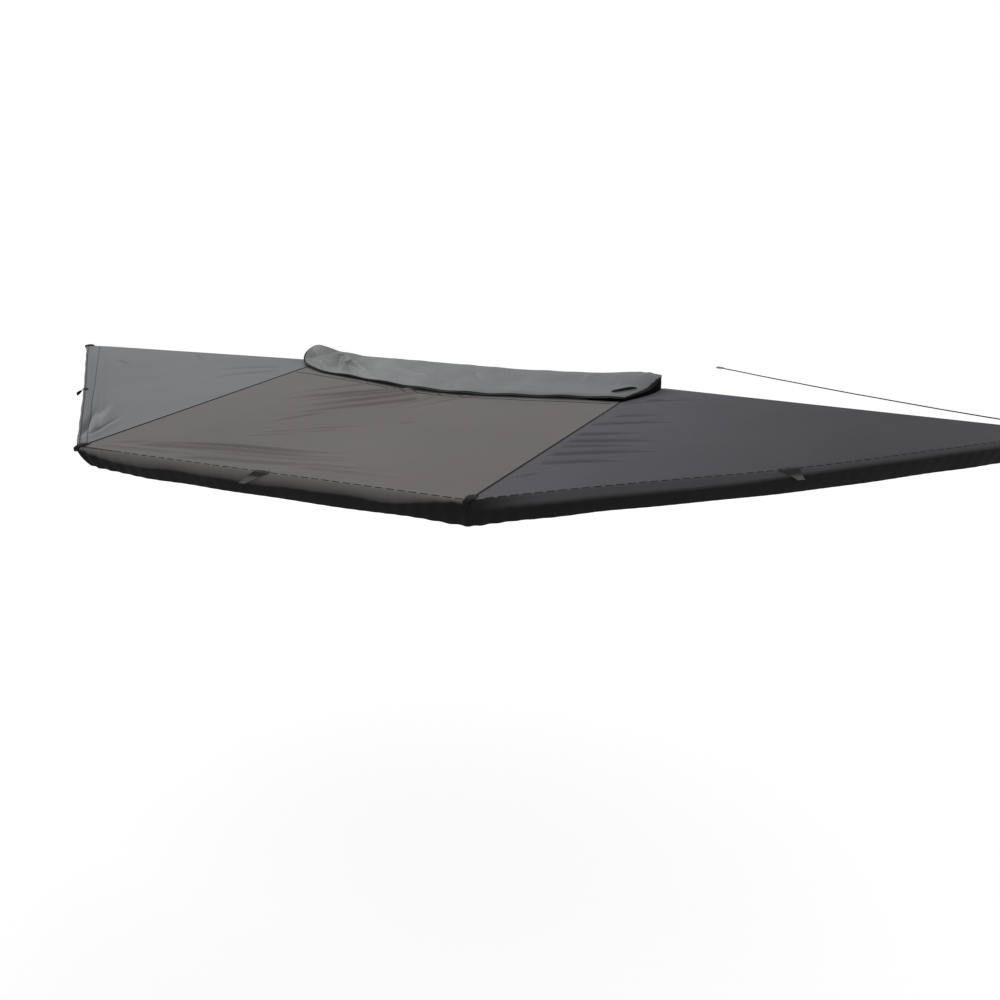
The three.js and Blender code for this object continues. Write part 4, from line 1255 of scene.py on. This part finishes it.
make_end_panel(FRONT, front_cloth, FRONT_FOLDS)
make_end_panel(REAR, rear_cloth, REAR_FOLDS)
make_centre_panel()
fan_end(make_valance("front", front_valance_cloth), FRONT)
gather_centre(make_valance("centre", centre_valance_cloth))
fan_end(make_valance("rear", rear_valance_cloth), REAR)
make_edge_seams()
make_front_hem()
make_ridge_piping()
make_width_seam()
make_rail_band()


# Cover flap

def bump_shape(distance, radius):
    return (1 + np.cos(math.pi * np.minimum(1, distance / radius))) / 2


def bezier(start, bend, tip, share):
    share = share[..., None]
    return (1 - share) ** 2 * start + 2 * share * (1 - share) * bend + share ** 2 * tip


def flap_edge(end, share):
    edge = FLAP_EDGES[end.name]

    def place(past, reach):
        return np.array((end.side * (RAIL_LENGTH / 2 + past), -reach))

    root = place(edge["root_past"], RAIL_DEPTH / 2)
    bend = place(edge["bend_past"], edge["bend_reach"])
    tip = place(edge["tip_past"], edge["tip_reach"])
    return bezier(root, bend, tip, share)


FLAP_FOLDS = (
    (-1.15, -0.06, -0.78, -0.38, 0.0080, 0.045, 0.3, 0.3),
    (-0.93, -0.05, -0.52, -0.37, 0.0130, 0.032, 0.4, 0.3),
    (-0.90, -0.08, -0.77, -0.34, -0.0130, 0.030, 0.1, 0.3),
    (-0.80, -0.18, -0.54, -0.45, -0.0160, 0.028, 0.1, 0.3),
    (-0.83, -0.16, -0.69, -0.42, 0.0100, 0.028, 0.2, 0.3),
    (-0.69, -0.30, -0.39, -0.50, 0.0070, 0.024, 0.2, 0.4),
    (-1.03, -0.22, -0.82, -0.40, 0.0070, 0.026, 0.2, 0.3),
    (-0.50, -0.18, -0.10, -0.35, 0.0070, 0.036, 0.3, 0.3),
    (-0.55, -0.29, -0.05, -0.50, 0.0040, 0.036, 0.3, 0.3),
    (-0.12, -0.31, 0.17, -0.42, 0.0060, 0.034, 0.3, 0.3),
    (0.04, -0.54, 0.00, -0.40, 0.0050, 0.020, 0.3, 0.3),
    (0.00, -0.40, 0.17, -0.52, 0.0050, 0.020, 0.3, 0.3),
    (0.02, -0.14, 0.14, -0.29, -0.0060, 0.020, 0.3, 0.3),
    (0.40, -0.12, 0.78, -0.40, 0.0040, 0.030, 0.4, 0.4),
    (0.70, -0.26, 0.73, -0.03, 0.0060, 0.022, 0.3, 0.3),
    (0.67, -0.10, 0.79, -0.20, 0.0050, 0.020, 0.3, 0.3),
    (0.84, -0.25, 0.98, -0.01, -0.0070, 0.020, 0.2, 0.3),
    (0.87, -0.20, 0.99, 0.00, 0.0070, 0.018, 0.2, 0.3),
    (0.99, -0.13, 1.03, 0.00, 0.0060, 0.016, 0.2, 0.3),
)


# The line in plan beyond which the flap's rear end is dark, as if turned over to its black facing
FLAP_FACING_LINE = ((1.082, -0.085), (0.985, -0.42))


# How far the canopy has sagged under a place near the flap's free edge
def sag_under(x, y):
    across = np.clip((x + 0.94) / 1.88, 0, 1)
    reach = np.clip(0.1 + 0.49 * (-y - 0.19), 0, 1)
    return CENTRE_SAG * sag_shape(across) * np.sin(math.pi * reach)


# The flap's height without its folds: it lies on the rail, drops to the canopy, rises over the hubs and has
# a lump at each end.
def flap_height(x, y, s, t):
    top = RAIL_HEIGHT / 2 + SEAT + FLAP_THICKNESS / 2
    lie = FLAP_LIE + FLAP_THICKNESS / 2
    z = lie + (top + FLAP_TOP_RISE - lie) * bump_shape(np.maximum(0, -RAIL_DEPTH - y), FLAP_DROP_REACH)
    over = top + FLAP_TOP_RISE * (-RAIL_DEPTH / 2 - y) / (RAIL_DEPTH / 2)
    z = np.where(y > -RAIL_DEPTH, over, z)
    for end in ENDS:
        beyond = np.maximum(0, end.hub[1] - HUB_TONGUE_RADIUS - y)
        away = np.hypot((x - end.hub[0]) / 2, beyond)
        z = z + FLAP_HUB_RISE * bump_shape(away, FLAP_HUB_REACH) * np.minimum(1, 9 * t)
    for end in ENDS:
        lump = FLAP_LUMPS[end.name]
        middle = end.hub[0] + end.side * lump["past_hub"]
        away = np.hypot(x - middle, y + lump["reach"])
        height = lump["height"] * smooth_step(t / FLAP_ROOT_HOLD)
        if end is FRONT:
            peak = np.maximum(0, 1.08 - np.hypot(away / lump["radius"], 0.08)) ** 1.2
            z = z + height * peak * np.minimum(1, 0.86 + 10 * s)
        else:
            z = z + height * bump_shape(away, lump["radius"])
    return z + FLAP_RIPPLE * (1 + np.sin(2 * math.pi * FLAP_RIPPLES * s + FLAP_RIPPLE_TURN * t)) * t


def flap_point(s, t, detailed=True):
    s, t = broadcast(s, t)
    share = t ** 1.5
    front = flap_edge(FRONT, share)
    rear = flap_edge(REAR, share)
    plan = front + (rear - front) * s[..., None]
    x = plan[..., 0]
    y = plan[..., 1] - FLAP_BULGE * np.sin(math.pi * s) * share
    z = flap_height(x, y, s, t)
    if detailed:
        free = smooth_step(t / 0.12)
        low = smooth_step((t - 0.25) / 0.6)
        folds = np.maximum(fold_height(x, y, FLAP_FOLDS, True), -FLAP_FOLD_DEPTH)
        z = z + folds * free * (1 - 0.65 * smooth_step((t - 0.8) / 0.2))
        z = z + unevenness(x, y, *FLAP_UNEVENNESS, 2.0) * free * (1 - 0.8 * low)
        z = np.maximum(z, FLAP_FLOOR)
        z = z - FLAP_SHARE_OF_SAG * sag_under(x, y) * low
        y = y + FLAP_PULLED_IN * np.sin(math.pi * s) * share
    return np.stack((x, y, z), -1)


# How dark the flap is: all black past the facing's line, and a little painted shade just before it and on
# the free edge
def facing_and_shade_levels(points, s, t):
    (x0, y0), (x1, y1) = FLAP_FACING_LINE
    side = (points[..., 0] - x0) * (y0 - y1) + (points[..., 1] - y0) * (x1 - x0)
    beyond = side / math.hypot(x1 - x0, y1 - y0)
    past = smooth_step(beyond / 0.006 + 0.5) * smooth_step((-0.02 - points[..., 1]) / 0.03)
    along, down = broadcast(s, t)
    # Painted shade just before the facing's line and along the rear part of the free edge
    painted_shade = 0.30 * smooth_step(beyond / 0.12 + 1) * smooth_step(down / 0.2)
    free_edge_shade = 0.38 * smooth_step((down - 0.86) / 0.12) * smooth_step((along - 0.45) / 0.3)
    return np.maximum(past, np.maximum(painted_shade, free_edge_shade))


def make_flap():
    across, fall = FLAP_STEPS
    s = np.linspace(0, 1, across + 1)[None, :]
    t = np.linspace(0, 1, fall + 1)[:, None]
    points = flap_point(s, t)
    plain = flap_point(s, t, False)
    piece = add_grid("cover_flap_cloth", points, plain[..., :2], cover_cloth)
    add_level(piece, "facing_and_shade", facing_and_shade_levels(points, s, t))
    thicken(piece, FLAP_DRAWN_THICKNESS)
    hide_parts("cover_flap")
    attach(piece, "base")
    make_flap_binding_and_shade()
    make_flap_slot()
    make_flap_gusset()


# Black binding round the flap's front side and its free edge, turned a little down, so that its black also
# stands for the shadow in the gap under the edge, a painted shadow
def make_flap_binding_and_shade():
    s = np.concatenate((np.full(70, 0.003), np.linspace(0.006, 1.0, 300)))
    t = np.concatenate((np.linspace(0.42, 0.985, 70), np.full(300, FLAP_HEM)))
    step = 0.004
    hem = resample(flap_point(s, t), step) + raised(0.0016)
    forward = np.gradient(hem, axis=0)
    out = unit(np.column_stack((forward[:, 1], -forward[:, 0], np.zeros(len(hem)))))
    across = out + raised(-0.45)
    taper = 0.3 + 0.7 * smooth_step(np.linspace(0, len(hem) * step, len(hem)) / 0.25)
    binding_and_shade = add_ribbon("cover_flap_binding", hem, across, 0.013, 0.004, black_webbing, taper=taper)
    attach(binding_and_shade, "base")


# The black gusset that hangs from the rear part of the flap's edge down to the canopy: a black sheet that
# stands for the shade under the flap's lifted rear part, a painted shade
def make_flap_gusset():
    s = np.concatenate((np.linspace(GUSSET_START, 1.0, 50), np.full(40, 1.0)))
    t = np.concatenate((np.full(50, FLAP_HEM), np.linspace(0.985, 0.35, 40)))
    edge = flap_point(s, t)
    depth = (edge[:, 2] - GUSSET_FOOT) * smooth_step((s - GUSSET_START) / 0.05)
    rows = []
    for share in (0.0, 0.35, 0.7, 1.0):
        row = edge.copy()
        row[:, 2] -= 0.001 + np.maximum(depth - 0.001, 0.0005) * share
        rows.append(row)
    rows = np.array(rows)
    plan = np.stack((np.broadcast_to(edge[:, 0] + edge[:, 1], rows.shape[:2]), rows[..., 2]), -1)
    gusset = add_grid("cover_flap_gusset_shade", rows, plan, black_lining_and_shade)
    thicken(gusset, GUSSET_THICKNESS)
    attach(gusset, "base")


# A hand slot near the flap's rear end: its opening is a black sheet, painted shade for the dark inside,
# with a taped lip that stands a little open
def make_flap_slot():
    first, last = (flap_share(*place) for place in SLOT_ENDS)
    run = np.linspace(0, 1, 48)
    s, t = (first[k] + (last[k] - first[k]) * run for k in (0, 1))
    swell = np.sin(math.pi * run) ** 0.7
    rows = []
    for share in np.linspace(-1, 1, 9):
        row = flap_point(s, t + SLOT_SPREAD * share * swell)
        row[:, 2] += SLOT_LIFT + SLOT_SWELL * swell * (1 - share ** 2)
        rows.append(row)
    rows = np.array(rows)
    gap = add_grid("cover_flap_opening_shade", rows, rows[..., :2], black_lining_and_shade)
    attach(gap, "base")
    lip = flap_point(s, t + LIP_SPREAD * swell)
    lip[:, 2] += SLOT_LIFT
    tape = add_ribbon("cover_flap_lip", lip, (0.3, -0.9, 0.1), 0.010, 0.0025, cover_cloth)
    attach(tape, "base")


# The shares along and down the flap at which it passes a place in plan
def flap_share(x, y):
    s, t = np.meshgrid(np.linspace(0.7, 1, 301), np.linspace(0.1, 1, 301))
    points = flap_point(s, t)
    nearest = np.argmin((points[..., 0] - x) ** 2 + (points[..., 1] - y) ** 2)
    return float(s.flat[nearest]), float(t.flat[nearest])


make_flap()


# Straps over the corners and ties on the edges

# A line over an edge: along the cloth, round a corner and down
def over_edge_line(top, fall, out, upper, radius=0.006):
    line = [(-top, upper)]
    line += [(x, upper) for x in np.linspace(-top * 0.8, out - radius, 6)]
    for angle in np.linspace(0.15, math.pi / 2, 7):
        line.append((out - radius + radius * math.sin(angle), upper - radius + radius * math.cos(angle)))
    line += [(out, z) for z in np.linspace(upper - radius - 0.006, upper - fall, 8)]
    return np.array(line)


def buckle_frame(name, centre, along, across, up, length, width, bar, height, material):
    corners = []
    for sx, sy in SQUARE:
        corners.append(centre + along * sx * length / 2 + across * sy * width / 2 + up * height)
    loops = []
    for k in range(4):
        a, b, c = corners[k - 1], corners[k], corners[(k + 1) % 4]
        for share in (0.25, 0.12):
            loops.append(b + (a - b) * share)
        loops.append(b + ((a - b) + (c - b)) * 0.035)
        for share in (0.12, 0.25):
            loops.append(b + (c - b) * share)
    pieces = [add_tube(name, np.array(loops), bar, material, 8, closed=True)]
    for shift in (-0.02, 0.5):
        middle = centre + along * shift * length / 2 + up * height
        half = across * width * 0.49
        rod = np.linspace(middle - half, middle + half, 3)
        pieces.append(add_tube(name + "_rod", rod, bar * 0.8, material, 8))
    return join_pieces(name, pieces)


def make_corner_strap(end, which):
    arm = end.side_arm if which == "side" else end.end_arm
    body = f"{end.name}_{which}_arm"
    upper = CLOTH_MIDDLE + CLOTH_THICKNESS / 2 + SEAT + STRAP_THICKNESS / 2
    section = over_edge_line(STRAP_TOP, STRAP_FALL, STRAP_OUT + STRAP_THICKNESS / 2, upper)
    line = arm.at(ARM_LENGTH + section[:, 0], 0.0, section[:, 1])
    strap = add_ribbon(f"{body}_strap", line, arm.side, STRAP_WIDTH, STRAP_THICKNESS, black_webbing)
    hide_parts(f"{end.name}_{which}_corner_strap")
    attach(strap, body)
    place = (arm.at(ARM_LENGTH - 0.020, 0.0, upper + 0.0012), arm.along, arm.side, arm.up)
    buckle = buckle_frame(f"{body}_strap_buckle", *place, *BUCKLE_SIZE, buckle_plastic)
    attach(buckle, body)
    rise = upper + 0.0026 + 0.0016 * np.sin(np.linspace(0, math.pi, 9))
    over = arm.at(ARM_LENGTH + np.linspace(-0.040, 0.006, 9), 0.0, rise)
    tail = add_ribbon(f"{body}_strap_fold", over, arm.side, 0.0245, 0.0022, black_webbing)
    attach(tail, body)


for end in ENDS:
    make_corner_strap(end, "side")
    make_corner_strap(end, "end")


# A tie: over the edge, then down by the fall, outwards by the kick and along the edge by the slant, turning
# and narrowing as it goes. Its inner end lies as high as the cloth under the model's plain tie.
def make_tie(name, node, start, stop, share, edge_sag, hub, material, shape):
    out = outward_of(start, stop)
    along = np.cross((0, 0, 1), out)
    place = start + (stop - start) * share
    reach = (place - hub) @ out
    inner_share = 1 - (TIE_TOP + TIE_WIDTH / 6) / (reach * (1 - CANOPY_START / ARM_LENGTH))
    sag = edge_sag * sag_shape(share) * inner_share ** SAG_POWER
    upper = CLOTH_MIDDLE + CLOTH_THICKNESS / 2 + SEAT + TIE_THICKNESS / 2
    section = over_edge_line(shape["top"], shape["fall"], TIE_OUT + TIE_THICKNESS / 2, upper, 0.004)
    section = resample(np.pad(section, ((0, 0), (0, 1))), 0.0025)
    fallen = np.clip((upper - section[:, 1]) / shape["fall"], 0, 1)
    section[:, 0] += shape["kick"] * np.maximum(0, fallen - 0.1) ** 1.3
    base = np.array((place[0], place[1], place[2] - CLOTH_MIDDLE - sag))
    line = base + section[:, :1] * out + section[:, 1:2] * raised(1)
    line = line + shape["slant"] * fallen[:, None] * along
    angle = math.radians(shape["twist"]) * smooth_step(fallen / 0.8)[:, None]
    across = np.cos(angle) * along + np.sin(angle) * raised(1)
    taper = 1 + (shape["tip"] / shape["root"] - 1) * smooth_step(fallen)
    piece = add_ribbon(name, line, across, shape["root"], 0.0018, material, taper=taper)
    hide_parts(node)
    tacks = []
    for k, inwards in enumerate((0.85, 0.15)):
        centre = base + out * (-shape["top"] * inwards) + raised(upper + TACK_RADIUS)
        rung = np.array([centre - along * TACK_HALF, centre + along * TACK_HALF])
        tacks.append(add_tube(f"{name}_tack_{k}", rung, TACK_RADIUS, seam_thread, 6))
    box = join_pieces(f"{name}_tacking", tacks)
    return piece, box


FRONT_TIE = {
    "top": 0.016, "fall": 0.026, "kick": 0.038, "slant": 0.0, "twist": 60, "root": 0.030, "tip": 0.022,
}
CENTRE_TIE = {
    "top": 0.010, "fall": 0.050, "kick": 0.014, "slant": -0.085, "twist": 0, "root": 0.062, "tip": 0.030,
}
REAR_TIE = {
    "top": 0.008, "fall": 0.044, "kick": 0.014, "slant": 0.050, "twist": 0, "root": 0.080, "tip": 0.034,
}
front_place = (TIP_A, TIP_B, 0.53, END_EDGE_SAG, FRONT.hub)
for piece in make_tie("edge_tie_front", "tie_front", *front_place, black_webbing, FRONT_TIE):
    fan_end(piece, FRONT)
centre_place = (TIP_B, TIP_C, 0.52, 0.0, FRONT.hub)
for piece in make_tie("edge_tie_centre", "tie_centre", *centre_place, grey_webbing, CENTRE_TIE):
    gather_centre(piece)
rear_place = (TIP_C, TIP_D, 0.47, END_EDGE_SAG, REAR.hub)
for piece in make_tie("edge_tie_rear", "tie_rear", *rear_place, grey_webbing, REAR_TIE):
    fan_end(piece, REAR)


# Stay rope from the rear tip's ring to its hook

def make_rope():
    route = through(ROPE_ROUTE, 6)
    rope = add_tube("stay_rope_cover", route, ROPE_DIAMETER / 2, rope_cover, 12)
    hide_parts("stay_rope")
    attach(rope, "base")
    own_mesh(rope)


# The knot that holds the rope at the rear tip
def make_knot():
    start = np.array(ROPE_ROUTE[0])
    ahead = unit(np.array(ROPE_ROUTE[1]) - start)
    side = unit(np.cross(ahead, (0, 0, 1)))
    over = np.cross(side, ahead)
    turns, radius = 5, 0.0056
    turn = np.linspace(0, 2 * turns * math.pi, 160)
    line = start + ahead * (0.004 + 0.034 * turn / turn[-1])[:, None]
    line = line + radius * (np.cos(turn)[:, None] * side + np.sin(turn)[:, None] * over)
    knot = add_tube("stay_rope_knot", line, ROPE_DIAMETER / 2, rope_cover, 8)
    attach(knot, "rear_end_arm")


make_rope()
make_knot()


# Stage and light

FLOOR_REACH = 60
FLOOR_HEIGHT = -2.6


def make_stage():
    points = [(x * FLOOR_REACH, y * FLOOR_REACH, FLOOR_HEIGHT) for x, y in SQUARE]
    floor = add_mesh("floor", points, [(0, 1, 2, 3)], make_floor_material(), smooth=False)


def make_floor_material():
    shader = Shader("floor", (0.86, 0.86, 0.86), 0.9)
    seen = shader.node("ShaderNodeLightPath").outputs["Is Camera Ray"]
    strength = shader.times(seen, 0.45)
    glow = shader.node("ShaderNodeEmission", {"Color": (1, 1, 1, 1), "Strength": strength})
    both = shader.node("ShaderNodeAddShader")
    shader.feed(shader.surface.outputs[0], both.inputs[0])
    shader.feed(glow.outputs[0], both.inputs[1])
    shader.feed(both.outputs[0], shader.tree.nodes["Material Output"].inputs["Surface"])
    return shader.material


def make_world():
    world = bpy.data.worlds.new("world")
    world.use_nodes = True
    nodes = Nodes(world.node_tree)
    paths = nodes.node("ShaderNodeLightPath").outputs
    seen = nodes.math("MAXIMUM", paths["Is Camera Ray"], paths["Is Transmission Ray"])
    background = world.node_tree.nodes["Background"].inputs
    nodes.feed((1, 1, 1, 1), background["Color"])
    nodes.feed(nodes.spread(seen, 0.0, 1.0, 0.66, 1.0), background["Strength"])
    bpy.context.scene.world = world


def make_lamp(name, place, towards, size, power):
    data = bpy.data.lights.new(name, "AREA")
    data.shape = "DISK"
    data.size = size
    data.energy = power
    lamp = bpy.data.objects.new(name, data)
    lamp.location = place
    lamp.rotation_euler = (Vector(towards) - Vector(place)).to_track_quat("-Z", "Y").to_euler()
    bpy.context.scene.collection.objects.link(lamp)


make_stage()
make_world()
make_lamp("key_lamp", (-4.5, 3.5, 4.2), (0, -1, 0), 2.0, 75)
bpy.context.scene.view_settings.view_transform = "Standard"
